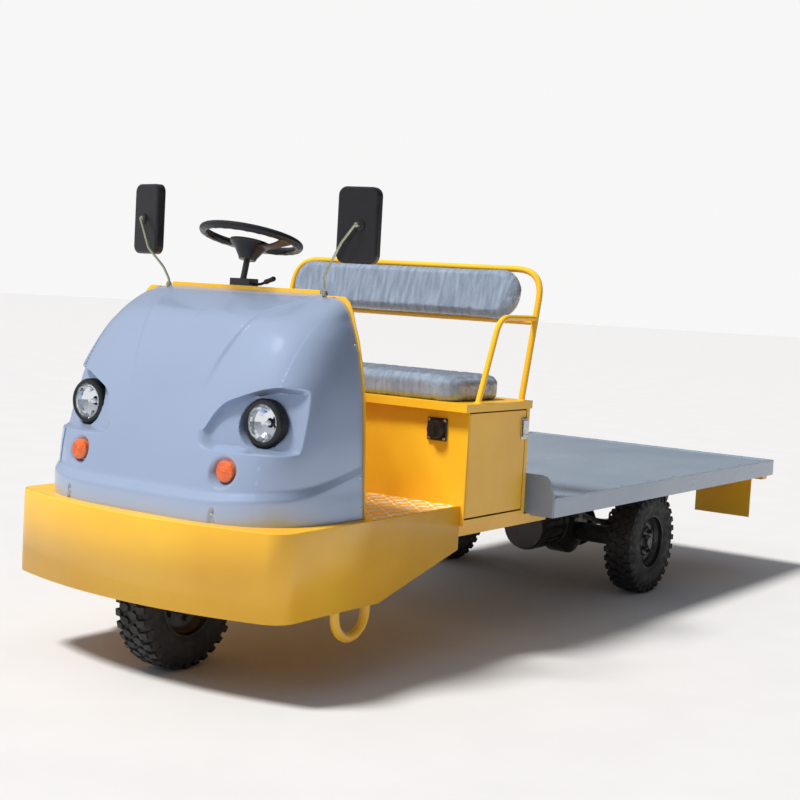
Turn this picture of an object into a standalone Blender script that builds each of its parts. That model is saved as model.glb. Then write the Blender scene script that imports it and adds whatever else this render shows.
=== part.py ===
"""Electric three-wheeled platform truck: one steered front wheel under a moulded cowl, a bench seat on
a battery box, and a long flat load bed over a sprung rear drive axle.

Metres, +Z up, the front at -Y and the vehicle's left side at +X. Stations along the truck are measured
from the front face of the apron, and the whole truck hangs on the empty "vehicle", which puts the middle
of its length at the origin."""

import math

import bmesh
import bpy
from mathutils import Matrix, Vector

# ---- Driving dimensions ----------------------------------------------------------------------------
TOUCH = 0.0003  # gap between two pieces that touch
RUN = 0.006  # gap beside a piece that moves
PIN = 0.0008  # gap round a pin or a shaft

LENGTH = 3.906  # apron's front face to the bed's rear edge
FLOOR_TOP = 0.560
FLOOR_THICK = 0.006

APRON_HALF = 0.605  # half width of the apron
APRON_BOW = 0.106  # how far the front face bows forward of its corners
APRON_CORNER = 0.090
APRON_WALL = 0.008
APRON_BOTTOM = 0.273
APRON_SLOPE_START = 0.618  # where the lower edge begins to rise
APRON_TAIL_BOTTOM = 0.400

COWL_REAR = 0.554
COWL_WALL = 0.006
PANEL_THICK = 0.005
PANEL_PROUD = 0.006  # how far the dash panel stands outside the cowl

BOX_HALF = 0.620
BOX_FRONT = 1.100
BOX_DEPTH = 0.436
BOX_REAR = BOX_FRONT + BOX_DEPTH
BOX_BOTTOM = 0.486
BOX_WALL = 0.004
LID_TOP = 0.930
LID_SKIRT = 0.030
LID_PLATE = 0.004
LID_FRONT_OVERHANG = 0.034
DOOR_FRAME = 0.022

SEAT_HALF = 0.570
SEAT_DEPTH = 0.375
SEAT_THICK = 0.095
BACK_HALF = 0.560
BACK_HEIGHT = 0.210
BACK_THICK = 0.075
SEAT_TUBE = 0.0125  # radius
BACK_RAKE = math.radians(12.5)

BED_HALF = 0.713
BED_GAP = 0.064  # between the battery box and the board at the front of the bed
BED_FRONT = BOX_REAR + BED_GAP
BED_TOP = 0.554
BED_PLATE = 0.004
BED_SKIRT = 0.075
BOARD_RISE = 0.087
BOARD_THICK = 0.008

WHEEL_RADIUS = 0.235
WHEEL_WIDTH = 0.134
RIM_RADIUS = 0.118
FRONT_WHEEL_Y = 0.289
REAR_WHEEL_Y = 2.800
REAR_WHEEL_X = 0.517
RAIL_X = 0.355
RAIL_WIDTH = 0.050
RAIL_BOTTOM = 0.420
SPRING_WIDTH = 0.050
SPRING_CLAMP = 0.006  # how far the clamp on the axle stands out beside the spring
SPRING_X = REAR_WHEEL_X - WHEEL_WIDTH / 2 - RUN - SPRING_CLAMP - SPRING_WIDTH / 2

RING_RADIUS = 0.172
RING_TUBE = 0.0145
RING_Y = 0.614
RING_Z = 1.478
COLUMN_X = -0.026
COLUMN_RAKE = math.radians(13)
COLUMN_RADIUS = 0.011

MIRROR_WIDTH = 0.150
MIRROR_HEIGHT = 0.255
MIRROR_THICK = 0.034


# ---- Materials ---------------------------------------------------------------------------------------
def paint(name, colour, roughness, metallic=0.0):
    material = bpy.data.materials.new(name)
    material.use_nodes = True
    shader = material.node_tree.nodes["Principled BSDF"]
    shader.inputs["Base Color"].default_value = (*colour, 1.0)
    shader.inputs["Roughness"].default_value = roughness
    shader.inputs["Metallic"].default_value = metallic
    return material


for item in list(bpy.data.objects):
    bpy.data.objects.remove(item, do_unlink=True)

YELLOW = paint("yellow_enamel", (0.93, 0.52, 0.03), 0.35)
COWL_BLUE = paint("blue_grey_gelcoat", (0.33, 0.42, 0.60), 0.2)
BED_GREY = paint("grey_bed_enamel", (0.33, 0.42, 0.52), 0.35)
BLACK_METAL = paint("black_chassis_enamel", (0.02, 0.02, 0.022), 0.5)
BLACK_PLASTIC = paint("black_plastic", (0.015, 0.016, 0.02), 0.4)
TYRE_RUBBER = paint("tyre_rubber", (0.02, 0.02, 0.022), 0.8)
VINYL = paint("blue_grey_vinyl", (0.30, 0.36, 0.45), 0.35)
ZINC = paint("yellow_zinc", (0.42, 0.46, 0.34), 0.4, 1.0)
STEEL = paint("bare_steel", (0.6, 0.6, 0.6), 0.35, 1.0)
LAMP_GLASS = paint("lamp_glass", (0.85, 0.88, 0.9), 0.05)
ORANGE_LENS = paint("orange_lens", (0.85, 0.16, 0.02), 0.15)
RED_LENS = paint("red_lens", (0.65, 0.02, 0.02), 0.15)
BATTERY_CASE = paint("battery_case", (0.05, 0.05, 0.055), 0.6)

vehicle = bpy.data.objects.new("vehicle", None)
vehicle.location.y = -LENGTH / 2
bpy.context.collection.objects.link(vehicle)


# ---- Modelling helpers -------------------------------------------------------------------------------
def joint_empty(name, place, parent=vehicle, rotation=(0, 0, 0)):
    """An empty on a joint's axis; the pieces that move hang on it."""
    empty = bpy.data.objects.new(name, None)
    bpy.context.collection.objects.link(empty)
    empty.parent = parent
    empty.location = Vector(place) - truck_place(parent)
    empty.rotation_euler = rotation
    return empty


def truck_place(empty):
    """Where an unturned empty lies, measured from the apron's front face."""
    place = Vector((0, 0, 0))
    while empty is not None and empty is not vehicle:
        place += empty.location
        empty = empty.parent
    return place


def add(name, shape, material, parent=vehicle, smooth=None):
    """Hangs a bmesh, drawn in truck stations, on its parent as one named object."""
    bmesh.ops.recalc_face_normals(shape, faces=shape.faces)
    mesh = bpy.data.meshes.new(name)
    shape.to_mesh(mesh)
    shape.free()
    mesh.materials.append(material)
    if smooth:
        mesh.shade_smooth()
        mesh.set_sharp_from_angle(angle=math.radians(smooth))
    thing = bpy.data.objects.new(name, mesh)
    bpy.context.collection.objects.link(thing)
    mesh.transform(Matrix.Translation(-truck_place(parent)))
    thing.parent = parent
    return thing


def helper(target, shape, operation):
    """A hidden shape that is joined to the target, or cut from it."""
    tool = add(f"{target.name}_{operation.lower()}_{len(target.modifiers)}", shape, target.data.materials[0],
               target.parent)
    tool.hide_render = True
    tool.display_type = "WIRE"
    change = target.modifiers.new(tool.name, "BOOLEAN")
    change.operation = operation
    change.object = tool
    return tool


def join(target, *shapes):
    for shape in shapes:
        helper(target, shape, "UNION")
    return target


def cut(target, *shapes):
    for shape in shapes:
        helper(target, shape, "DIFFERENCE")
    return target


def box(x0, x1, y0, y1, z0, z1):
    shape = bmesh.new()
    size = Vector((x1 - x0, y1 - y0, z1 - z0))
    middle = Vector((x0 + x1, y0 + y1, z0 + z1)) / 2
    bmesh.ops.create_cube(shape, size=1.0, matrix=Matrix.Translation(middle) @ Matrix.Diagonal((*size, 1)))
    return shape


def rounded(shape, radius, axis, segments=3):
    """Rounds the edges of a box that run along one axis."""
    edges = [e for e in shape.edges if abs((e.verts[1].co - e.verts[0].co).normalized()[axis]) > 0.99]
    bmesh.ops.bevel(shape, geom=edges, offset=radius, segments=segments, affect="EDGES", profile=0.5)
    return shape


def prism(outline, axis, low, high):
    """A flat outline pushed along one axis; its two numbers are the other two coordinates, in order."""
    shape = bmesh.new()
    others = [i for i in range(3) if i != axis]
    corners = []
    for a, b in outline:
        point = [0.0, 0.0, 0.0]
        point[axis], point[others[0]], point[others[1]] = low, a, b
        corners.append(shape.verts.new(point))
    face = shape.faces.new(corners)
    pushed = bmesh.ops.extrude_face_region(shape, geom=[face])["geom"]
    step = Vector((0, 0, 0))
    step[axis] = high - low
    bmesh.ops.translate(shape, verts=[v for v in pushed if isinstance(v, bmesh.types.BMVert)], vec=step)
    return shape


def rod(start, end, radius, sides=16, end_radius=None):
    """A round bar or a cone between two points."""
    shape = bmesh.new()
    start, end = Vector(start), Vector(end)
    turn = Vector((0, 0, 1)).rotation_difference(end - start).to_matrix().to_4x4()
    bmesh.ops.create_cone(shape, cap_ends=True, segments=sides, radius1=radius,
                          radius2=radius if end_radius is None else end_radius, depth=(end - start).length,
                          matrix=Matrix.Translation((start + end) / 2) @ turn)
    return shape


def turned(profile, steps, axis_point, axis=(1, 0, 0)):
    """A profile of (place along the axis, radius) turned round an axis: a loop, or a line that starts and ends
    on the axis."""
    shape = bmesh.new()
    axis = Vector(axis)
    turn = Vector((1, 0, 0)).rotation_difference(axis).to_matrix()
    verts = [shape.verts.new(turn @ Vector((along, 0, radius)) + Vector(axis_point)) for along, radius in profile]
    solid = profile[0][1] == 0
    ends = verts if solid else verts + verts[:1]
    edges = [shape.edges.new(pair) for pair in zip(ends, ends[1:])]
    bmesh.ops.spin(shape, geom=verts + edges, cent=axis_point, axis=axis, angle=math.tau, steps=steps,
                   use_merge=True)
    bmesh.ops.remove_doubles(shape, verts=shape.verts, dist=1e-6)
    bmesh.ops.dissolve_degenerate(shape, edges=shape.edges, dist=1e-7)
    return shape


def filleted(corners, radius, segments=5):
    """The points of a path through the corners, each turn rounded."""
    corners = [Vector(c) for c in corners]
    path = [corners[0]]
    for before, corner, after in zip(corners, corners[1:], corners[2:]):
        u, v = (before - corner).normalized(), (after - corner).normalized()
        half = u.angle(v) / 2
        reach = min(radius / math.tan(half), 0.49 * (before - corner).length, 0.49 * (after - corner).length)
        bend = reach * math.tan(half)
        centre = corner + (u + v).normalized() * bend / math.sin(half)
        first, last = (corner + u * reach - centre).normalized(), (corner + v * reach - centre).normalized()
        path += [centre + first.slerp(last, i / segments) * bend for i in range(segments + 1)]
    return path + [corners[-1]]


def bent_tube(corners, radius, bend, sides=10, segments=5):
    """A round tube along a path with rounded bends."""
    path = filleted(corners, bend, segments)
    shape = bmesh.new()
    rings = []
    side = None
    for index, point in enumerate(path):
        ahead = (path[min(index + 1, len(path) - 1)] - path[max(index - 1, 0)]).normalized()
        if side is None:
            side = ahead.orthogonal().normalized()
        side = (side - ahead * side.dot(ahead)).normalized()
        up = ahead.cross(side)
        rings.append([shape.verts.new(point + radius * (math.cos(a) * side + math.sin(a) * up))
                      for a in (math.tau * i / sides for i in range(sides))])
    for first, second in zip(rings, rings[1:]):
        for i in range(sides):
            shape.faces.new((first[i], first[(i + 1) % sides], second[(i + 1) % sides], second[i]))
    shape.faces.new(rings[0][::-1])
    shape.faces.new(rings[-1])
    return shape


def mirrored(shape, side):
    """The shape as drawn for the left side, or turned over for the right side."""
    if side < 0:
        bmesh.ops.scale(shape, vec=(-1, 1, 1), verts=shape.verts)
        bmesh.ops.reverse_faces(shape, faces=shape.faces)
    return shape


SIDES = (("left", 1), ("right", -1))


# ---- Front apron, floor and lashing loops ------------------------------------------------------------
def apron_outline(inset, tail, front_steps=12, corner_steps=5):
    """The bowed front with rounded corners, from the right side's tail round to the left side's."""
    bow_radius = (APRON_HALF ** 2 + APRON_BOW ** 2) / (2 * APRON_BOW)
    across = APRON_HALF - APRON_CORNER
    back = bow_radius - math.sqrt((bow_radius - APRON_CORNER) ** 2 - across ** 2)
    spread = math.atan2(across, bow_radius - back)
    bow = [(math.sin(a) * (bow_radius - inset), bow_radius - math.cos(a) * (bow_radius - inset))
           for a in (spread * (2 * i / front_steps - 1) for i in range(front_steps + 1))]
    round_corner = [(across + math.sin(a) * (APRON_CORNER - inset), back - math.cos(a) * (APRON_CORNER - inset))
                    for a in (spread + (math.pi / 2 - spread) * i / corner_steps
                              for i in range(1, corner_steps + 1))]
    left = round_corner + [(APRON_HALF - inset, tail)]
    return [(-x, y) for x, y in reversed(left)] + bow + left


APRON_TAIL = BOX_FRONT - TOUCH
outer = apron_outline(0, APRON_TAIL)
inner = apron_outline(APRON_WALL, APRON_TAIL)
front_apron = add("front_apron", prism(outer + inner[::-1], 2, APRON_BOTTOM, FLOOR_TOP), YELLOW, smooth=35)
slope = [(APRON_SLOPE_START, APRON_BOTTOM - 0.01), (APRON_SLOPE_START, APRON_BOTTOM),
         (APRON_TAIL, APRON_TAIL_BOTTOM), (APRON_TAIL + 0.1, APRON_TAIL_BOTTOM),
         (APRON_TAIL + 0.1, APRON_BOTTOM - 0.01)]
cut(front_apron, prism(slope, 0, -APRON_HALF - 0.1, APRON_HALF + 0.1))

HEAD_RADIUS = 0.058  # steering head that passes through the floor
FLOOR_BOTTOM = FLOOR_TOP - FLOOR_THICK
floor_edge = apron_outline(APRON_WALL + TOUCH, APRON_TAIL)
floor_plate = add("floor_plate", prism(floor_edge, 2, FLOOR_BOTTOM, FLOOR_TOP), YELLOW)
cut(floor_plate, rod((0, FRONT_WHEEL_Y, 0.4), (0, FRONT_WHEEL_Y, 0.7), HEAD_RADIUS + TOUCH, 32))

LOOP_BAR = 0.017
LOOP_HALF = 0.085
LOOP_Y = 0.495
LOOP_LOW = 0.155
for side_name, side in SIDES:
    loop_x = side * (APRON_HALF - APRON_WALL - LOOP_BAR - TOUCH)
    ends = FLOOR_BOTTOM - 0.12
    corners = [(loop_x, LOOP_Y - LOOP_HALF, ends), (loop_x, LOOP_Y - LOOP_HALF, LOOP_LOW + LOOP_BAR),
               (loop_x, LOOP_Y + LOOP_HALF, LOOP_LOW + LOOP_BAR), (loop_x, LOOP_Y + LOOP_HALF, ends)]
    add(f"lashing_loop_{side_name}", bent_tube(corners, LOOP_BAR, LOOP_HALF * 0.97, 12, 6), YELLOW, smooth=40)

# ---- Chassis frame: two rails, notched for the members that cross them ---------------------------------
RAIL_TOP = BOX_BOTTOM - TOUCH
REAR_TOP = BED_TOP - BED_PLATE - TOUCH
FRAME_FRONT = COWL_REAR + RUN
FRAME_REAR = LENGTH - 0.030
SILL_HALF = 0.600
SILL_END = BED_FRONT + 0.150
SILL_HEIGHT = 0.040
MEMBER_DEPTH = 0.050
HEAD_Y = 0.600  # the cross member that carries the steering head
FLOOR_MEMBER_Y = 1.050
FLOOR_MEMBER_BOTTOM = 0.470
BED_MEMBER_BOTTOM = 0.500
END_DEPTH = 0.060
END_BOTTOM = BED_TOP - BED_SKIRT - 0.020
SPRING_FRONT = REAR_WHEEL_Y - 0.440
SPRING_REAR = REAR_WHEEL_Y + 0.440
inner_half = APRON_HALF - APRON_WALL - TOUCH


def cross_member(y, half, bottom, top, depth=MEMBER_DEPTH, gap=0.0):
    return box(-half, half, y - depth / 2 - gap, y + depth / 2 + gap, bottom - gap, top + gap)


CROSSINGS = {
    "steering_head": (HEAD_Y, inner_half, FLOOR_MEMBER_BOTTOM, FLOOR_BOTTOM - TOUCH),
    "floor_member": (FLOOR_MEMBER_Y, inner_half, FLOOR_MEMBER_BOTTOM, FLOOR_BOTTOM - TOUCH),
    "box_sill": (BOX_FRONT + 0.040, SILL_HALF, RAIL_TOP - SILL_HEIGHT, RAIL_TOP),
    "box_sill_rear": (SILL_END - MEMBER_DEPTH / 2, SILL_HALF, RAIL_TOP - SILL_HEIGHT, RAIL_TOP),
    "bed_member_front": (2.200, BED_HALF - 0.020, BED_MEMBER_BOTTOM, REAR_TOP),
    "bed_member_rear": (3.400, BED_HALF - 0.020, BED_MEMBER_BOTTOM, REAR_TOP),
    "bed_end_member": (FRAME_REAR - END_DEPTH / 2, BED_HALF - 0.020, END_BOTTOM, REAR_TOP, END_DEPTH)}

for side_name, side in SIDES:
    x0, x1 = sorted((side * (RAIL_X - RAIL_WIDTH / 2), side * (RAIL_X + RAIL_WIDTH / 2)))
    rail_end = FRAME_REAR - 0.002
    frame_rail = add(f"frame_rail_{side_name}", box(x0, x1, FRAME_FRONT, rail_end, RAIL_BOTTOM, RAIL_TOP), YELLOW)
    join(frame_rail, box(x0, x1, FRAME_FRONT, BOX_FRONT - 0.002, RAIL_BOTTOM, FLOOR_BOTTOM - TOUCH),
         box(x0, x1, BED_FRONT + BOARD_THICK + TOUCH, rail_end, RAIL_BOTTOM, REAR_TOP),
         *[mirrored(box(RAIL_X - RAIL_WIDTH / 2, SPRING_X + SPRING_WIDTH / 2, y - 0.04, y + 0.04,
                        RAIL_BOTTOM, RAIL_BOTTOM + 0.05), side) for y in (SPRING_FRONT, SPRING_REAR)])
    cut(frame_rail, *[cross_member(*sizes, gap=TOUCH) for sizes in CROSSINGS.values()])

# The steering head: a plate under the floor that holds the bearing tube.
HEAD_TOP = 0.660
HEAD_BOTTOM = 0.505
HEAD_PLATE_HALF = 0.140
KINGPIN = 0.028
steering_head = add("steering_head", cross_member(*CROSSINGS["steering_head"]), YELLOW)
join(steering_head, box(-HEAD_PLATE_HALF, HEAD_PLATE_HALF, FRONT_WHEEL_Y - 0.089, HEAD_Y + 0.010, 0.515,
                        FLOOR_BOTTOM - TOUCH),
     rod((0, FRONT_WHEEL_Y, HEAD_BOTTOM), (0, FRONT_WHEEL_Y, HEAD_TOP), HEAD_RADIUS, 32))
cut(steering_head, rod((0, FRONT_WHEEL_Y, 0.4), (0, FRONT_WHEEL_Y, 0.8), KINGPIN + PIN, 24))
for name in ("floor_member", "bed_member_front", "bed_member_rear"):
    add(name, cross_member(*CROSSINGS[name]), YELLOW)
box_sill = add("box_sill", cross_member(*CROSSINGS["box_sill"]), YELLOW)
join(box_sill, cross_member(*CROSSINGS["box_sill_rear"]),
     *[mirrored(box(SILL_HALF - 0.05, SILL_HALF, BOX_FRONT + 0.008, SILL_END, RAIL_TOP - SILL_HEIGHT, RAIL_TOP),
                side) for side_name, side in SIDES])
bed_end_member = add("bed_end_member", cross_member(*CROSSINGS["bed_end_member"]), YELLOW)

# ---- Front wheel and its fork ------------------------------------------------------------------------
fork = joint_empty("steering_fork_pivot", (0, FRONT_WHEEL_Y, 0))
front_hub = joint_empty("front_wheel_axle", (0, FRONT_WHEEL_Y, WHEEL_RADIUS), fork)
CROWN_TOP = HEAD_BOTTOM - 0.004
CROWN_BOTTOM = WHEEL_RADIUS * 2 + 0.008
LEG_INNER = WHEEL_WIDTH / 2 + 0.012
LEG_THICK = 0.012
AXLE_RADIUS = 0.015


def fork_leg(side):
    outline = [(FRONT_WHEEL_Y - 0.075, CROWN_TOP), (FRONT_WHEEL_Y - 0.075, CROWN_BOTTOM - 0.03),
               (FRONT_WHEEL_Y - 0.038, WHEEL_RADIUS - 0.02), (FRONT_WHEEL_Y, WHEEL_RADIUS - 0.04),
               (FRONT_WHEEL_Y + 0.038, WHEEL_RADIUS - 0.02), (FRONT_WHEEL_Y + 0.075, CROWN_BOTTOM - 0.03),
               (FRONT_WHEEL_Y + 0.075, CROWN_TOP)]
    x0, x1 = sorted((side * LEG_INNER, side * (LEG_INNER + LEG_THICK)))
    return prism(outline, 0, x0, x1)


steering_fork = add("steering_fork", fork_leg(1), YELLOW, fork)
join(steering_fork, fork_leg(-1),
     box(-LEG_INNER - 0.005, LEG_INNER + 0.005, FRONT_WHEEL_Y - 0.075, FRONT_WHEEL_Y + 0.075,
         CROWN_BOTTOM, CROWN_TOP),
     rod((0, FRONT_WHEEL_Y, CROWN_TOP - 0.01), (0, FRONT_WHEEL_Y, HEAD_TOP + 0.012), KINGPIN, 24),
     rod((0, FRONT_WHEEL_Y, HEAD_TOP + 0.004), (0, FRONT_WHEEL_Y, HEAD_TOP + 0.030), 0.045, 24))
front_axle = add("front_axle_pin", rod((-LEG_INNER - 0.034, FRONT_WHEEL_Y, WHEEL_RADIUS),
                                       (LEG_INNER + 0.034, FRONT_WHEEL_Y, WHEEL_RADIUS), AXLE_RADIUS, 20),
                 BLACK_METAL, fork, smooth=40)
for side_name, side in SIDES:
    join(front_axle, rod((side * (LEG_INNER + LEG_THICK + TOUCH), FRONT_WHEEL_Y, WHEEL_RADIUS),
                         (side * (LEG_INNER + LEG_THICK + 0.018), FRONT_WHEEL_Y, WHEEL_RADIUS), 0.026, 6))
cut(steering_fork, rod((-0.3, FRONT_WHEEL_Y, WHEEL_RADIUS), (0.3, FRONT_WHEEL_Y, WHEEL_RADIUS),
                       AXLE_RADIUS + TOUCH, 20))


# ---- Wheels ------------------------------------------------------------------------------------------
WHEEL_STEPS = 36


def tyre(centre, side):
    half = WHEEL_WIDTH / 2
    inner_radius = RIM_RADIUS + TOUCH
    profile = [(-half * 0.78, inner_radius), (-half, inner_radius + 0.022), (-half * 1.0, WHEEL_RADIUS - 0.040),
               (-half * 0.93, WHEEL_RADIUS - 0.014), (-half * 0.80, WHEEL_RADIUS - 0.002),
               (-half * 0.4, WHEEL_RADIUS), (half * 0.4, WHEEL_RADIUS), (half * 0.80, WHEEL_RADIUS - 0.002),
               (half * 0.93, WHEEL_RADIUS - 0.014), (half, WHEEL_RADIUS - 0.040), (half, inner_radius + 0.022),
               (half * 0.78, inner_radius)]
    return turned([(side * a, r) for a, r in profile], WHEEL_STEPS, centre)


def rim(centre, side, bore, hub_length):
    """A pressed disc wheel: barrel, disc towards its outer side, and a hub tube round the axle."""
    half = WHEEL_WIDTH / 2 * 0.78
    wall = 0.006
    profile = [(half, RIM_RADIUS), (-half, RIM_RADIUS), (-half, RIM_RADIUS - wall), (0.004, RIM_RADIUS - wall),
               (0.014, 0.075), (0.014, 0.047), (-hub_length, 0.047), (-hub_length, bore), (0.040, bore),
               (0.040, 0.047), (0.024, 0.052), (0.024, 0.080), (half - 0.012, RIM_RADIUS - wall),
               (half, RIM_RADIUS - wall)]
    return turned([(side * a, r) for a, r in profile], WHEEL_STEPS, centre)


front_centre = (0, FRONT_WHEEL_Y, WHEEL_RADIUS)
add("front_tyre", tyre(front_centre, 1), TYRE_RUBBER, front_hub, smooth=35)
add("front_rim", rim(front_centre, 1, AXLE_RADIUS + PIN, LEG_INNER - 0.006), BLACK_METAL, front_hub, smooth=35)

REAR_AXLE_END = 0.020  # stub that the hubs turn on
for side_name, side in SIDES:
    centre = (side * REAR_WHEEL_X, REAR_WHEEL_Y, WHEEL_RADIUS)
    hub = joint_empty(f"rear_wheel_{side_name}_axle", centre)
    add(f"rear_tyre_{side_name}", tyre(centre, side), TYRE_RUBBER, hub, smooth=35)
    add(f"rear_rim_{side_name}", rim(centre, side, REAR_AXLE_END + PIN, 0.045), BLACK_METAL, hub, smooth=35)

# ---- Rear axle, motor and springs --------------------------------------------------------------------
HOUSING_RADIUS = 0.043
DIFF_RADIUS = 0.132
DIFF_X = 0.120
axle_line = (0, REAR_WHEEL_Y, WHEEL_RADIUS)
HOUSING_END = REAR_WHEEL_X - 0.045 - RUN
rear_axle = add("rear_axle", rod((-HOUSING_END, REAR_WHEEL_Y, WHEEL_RADIUS),
                                 (HOUSING_END, REAR_WHEEL_Y, WHEEL_RADIUS), HOUSING_RADIUS, 24),
                BLACK_METAL, smooth=40)
STUB = REAR_WHEEL_X + 0.052
join(rear_axle, rod((-STUB, REAR_WHEEL_Y, WHEEL_RADIUS), (STUB, REAR_WHEEL_Y, WHEEL_RADIUS), REAR_AXLE_END, 20),
     turned([(-0.090, 0.0), (-0.090, 0.070), (-0.045, DIFF_RADIUS), (0.045, DIFF_RADIUS), (0.090, 0.070),
             (0.090, 0.0)], 28, (DIFF_X, REAR_WHEEL_Y, WHEEL_RADIUS + 0.022)))
MOTOR_RADIUS = 0.100
motor_front = REAR_WHEEL_Y - DIFF_RADIUS - 0.250
motor_end = REAR_WHEEL_Y - DIFF_RADIUS - 0.004
drive_motor = add("drive_motor", rod((DIFF_X, motor_front, WHEEL_RADIUS + 0.045),
                                     (DIFF_X, motor_end, WHEEL_RADIUS + 0.045), MOTOR_RADIUS, 28),
                  BLACK_METAL, smooth=40)
join(rear_axle, rod((DIFF_X, motor_end + TOUCH, WHEEL_RADIUS + 0.045),
                    (DIFF_X, REAR_WHEEL_Y, WHEEL_RADIUS + 0.045), 0.075, 24))

LEAF = 0.008
PERCH_TOP = WHEEL_RADIUS + HOUSING_RADIUS + 0.012
EYE_Z = RAIL_BOTTOM - 0.035


def leaf_arc(reach, low, count=8):
    """Heights of a leaf's underside, from its low middle to its eyes."""
    rise = (EYE_Z - 0.018 - PERCH_TOP) / (SPRING_REAR - REAR_WHEEL_Y) ** 2
    stations = [reach * (2 * i / count - 1) for i in range(count + 1)]
    return [(REAR_WHEEL_Y + s, low + rise * s * s) for s in stations]


def leaf(x0, x1, reach, low):
    under = leaf_arc(reach, low)
    return prism(under + [(y, z + LEAF * 1.05) for y, z in reversed(under)], 0, x0, x1)


for side_name, side in SIDES:
    x0, x1 = sorted((side * (SPRING_X - SPRING_WIDTH / 2), side * (SPRING_X + SPRING_WIDTH / 2)))
    spring = add(f"leaf_spring_{side_name}", leaf(x0, x1, SPRING_REAR - REAR_WHEEL_Y, PERCH_TOP + 3 * LEAF),
                 BLACK_METAL)
    join(spring, leaf(x0, x1, 0.33, PERCH_TOP + 2 * LEAF), leaf(x0, x1, 0.24, PERCH_TOP + LEAF),
         leaf(x0, x1, 0.15, PERCH_TOP),
         box(x0 - SPRING_CLAMP, x1 + SPRING_CLAMP, REAR_WHEEL_Y - 0.05, REAR_WHEEL_Y + 0.05, PERCH_TOP + 0.01,
             PERCH_TOP + 4 * LEAF + 0.012))
    for eye_y in (SPRING_FRONT, SPRING_REAR):
        join(spring, rod((x0, eye_y, EYE_Z + 0.008), (x1, eye_y, EYE_Z + 0.008), 0.022, 16),
             box(x0, x1, eye_y - 0.03, eye_y + 0.03, EYE_Z + 0.015, RAIL_BOTTOM - TOUCH))
    join(rear_axle, box(x0, x1, REAR_WHEEL_Y - 0.05, REAR_WHEEL_Y + 0.05, WHEEL_RADIUS,
                        PERCH_TOP - TOUCH))


# ---- Load bed ----------------------------------------------------------------------------------------
bed_deck = add("bed_deck", box(-BED_HALF, BED_HALF, BED_FRONT + BOARD_THICK + TOUCH, LENGTH, BED_TOP - BED_SKIRT,
                               BED_TOP), BED_GREY)
cut(bed_deck, box(-BED_HALF + BED_PLATE, BED_HALF - BED_PLATE, BED_FRONT - 0.1, LENGTH - BED_PLATE,
                  BED_TOP - BED_SKIRT - 0.1, BED_TOP - BED_PLATE))
BOARD_TOP = BED_TOP + BOARD_RISE
board_left = [(SILL_HALF + 0.008, RAIL_TOP + TOUCH), (SILL_HALF + 0.008, BED_TOP - BED_SKIRT),
              (BED_HALF - 0.002, BED_TOP - BED_SKIRT), (BED_HALF, BED_TOP + 0.010),
              (BED_HALF - 0.021, BOARD_TOP - 0.020), (BED_HALF - 0.037, BOARD_TOP - 0.005),
              (BED_HALF - 0.058, BOARD_TOP)]
board_outline = board_left + [(-x, z) for x, z in reversed(board_left)]
add("bed_front_board", prism(board_outline, 1, BED_FRONT, BED_FRONT + BOARD_THICK), BED_GREY)

PLATE_INNER, PLATE_OUTER = 0.315, 0.612
PLATE_BOTTOM = 0.250
PLATE_THICK = 0.006
for side_name, side in SIDES:
    join(bed_end_member, mirrored(box(PLATE_INNER, PLATE_OUTER, FRAME_REAR - 0.001, FRAME_REAR + PLATE_THICK,
                                     PLATE_BOTTOM, BED_TOP - BED_SKIRT + 0.040), side))
    lamp_y = FRAME_REAR + PLATE_THICK + TOUCH
    lamp = rounded(box(PLATE_OUTER - 0.150, PLATE_OUTER - 0.030, lamp_y, LENGTH - 0.002, 0.320, 0.380), 0.012, 1)
    add(f"tail_lamp_{side_name}", mirrored(lamp, side), RED_LENS)

# ---- Battery box, doors and battery ------------------------------------------------------------------
LID_BOTTOM = LID_TOP - LID_SKIRT
BOX_TOP = LID_TOP - LID_PLATE - TOUCH
DOOR_BOTTOM = BOX_BOTTOM + DOOR_FRAME
DOOR_TOP = LID_BOTTOM - RUN
battery_box = add("battery_box", box(-BOX_HALF, BOX_HALF, BOX_FRONT, BOX_REAR, BOX_BOTTOM, BOX_TOP), YELLOW)
cut(battery_box, box(-BOX_HALF + BOX_WALL, BOX_HALF - BOX_WALL, BOX_FRONT + BOX_WALL, BOX_REAR - BOX_WALL,
                     BOX_BOTTOM + BOX_WALL, BOX_TOP + 0.1))
HINGE_Y = BOX_REAR + 0.010
HINGE_Z = LID_TOP - 0.010
HINGE_RADIUS = 0.008
HINGES = (-0.40, 0.40)
HINGE_HALF = 0.030
SKIRT_OUT = RUN + LID_PLATE
DOOR_PIN = 0.004  # radius of the long hinge down each door's front edge
DOOR_HINGE_Y = BOX_FRONT + 0.010
for side_name, side in SIDES:
    cut(battery_box,
        mirrored(box(BOX_HALF - 0.05, BOX_HALF + 0.01, DOOR_HINGE_Y - DOOR_PIN - TOUCH, BOX_REAR - DOOR_FRAME,
                     DOOR_BOTTOM, DOOR_TOP + RUN), side))
for x in HINGES:
    knuckle = rod((x - HINGE_HALF, HINGE_Y, HINGE_Z), (x - PIN, HINGE_Y, HINGE_Z), HINGE_RADIUS, 12)
    leaf_plate = box(x - HINGE_HALF, x - PIN, BOX_REAR - 0.001, HINGE_Y - 0.002, HINGE_Z - 0.045, HINGE_Z)
    join(battery_box, knuckle, leaf_plate)

BATTERY_CLEAR = 0.030
add("battery_pack", box(-0.48, 0.48, BOX_FRONT + BOX_WALL + BATTERY_CLEAR, BOX_REAR - BOX_WALL - BATTERY_CLEAR,
                        BOX_BOTTOM + BOX_WALL + TOUCH, BOX_TOP - 0.080), BATTERY_CASE)

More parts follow.
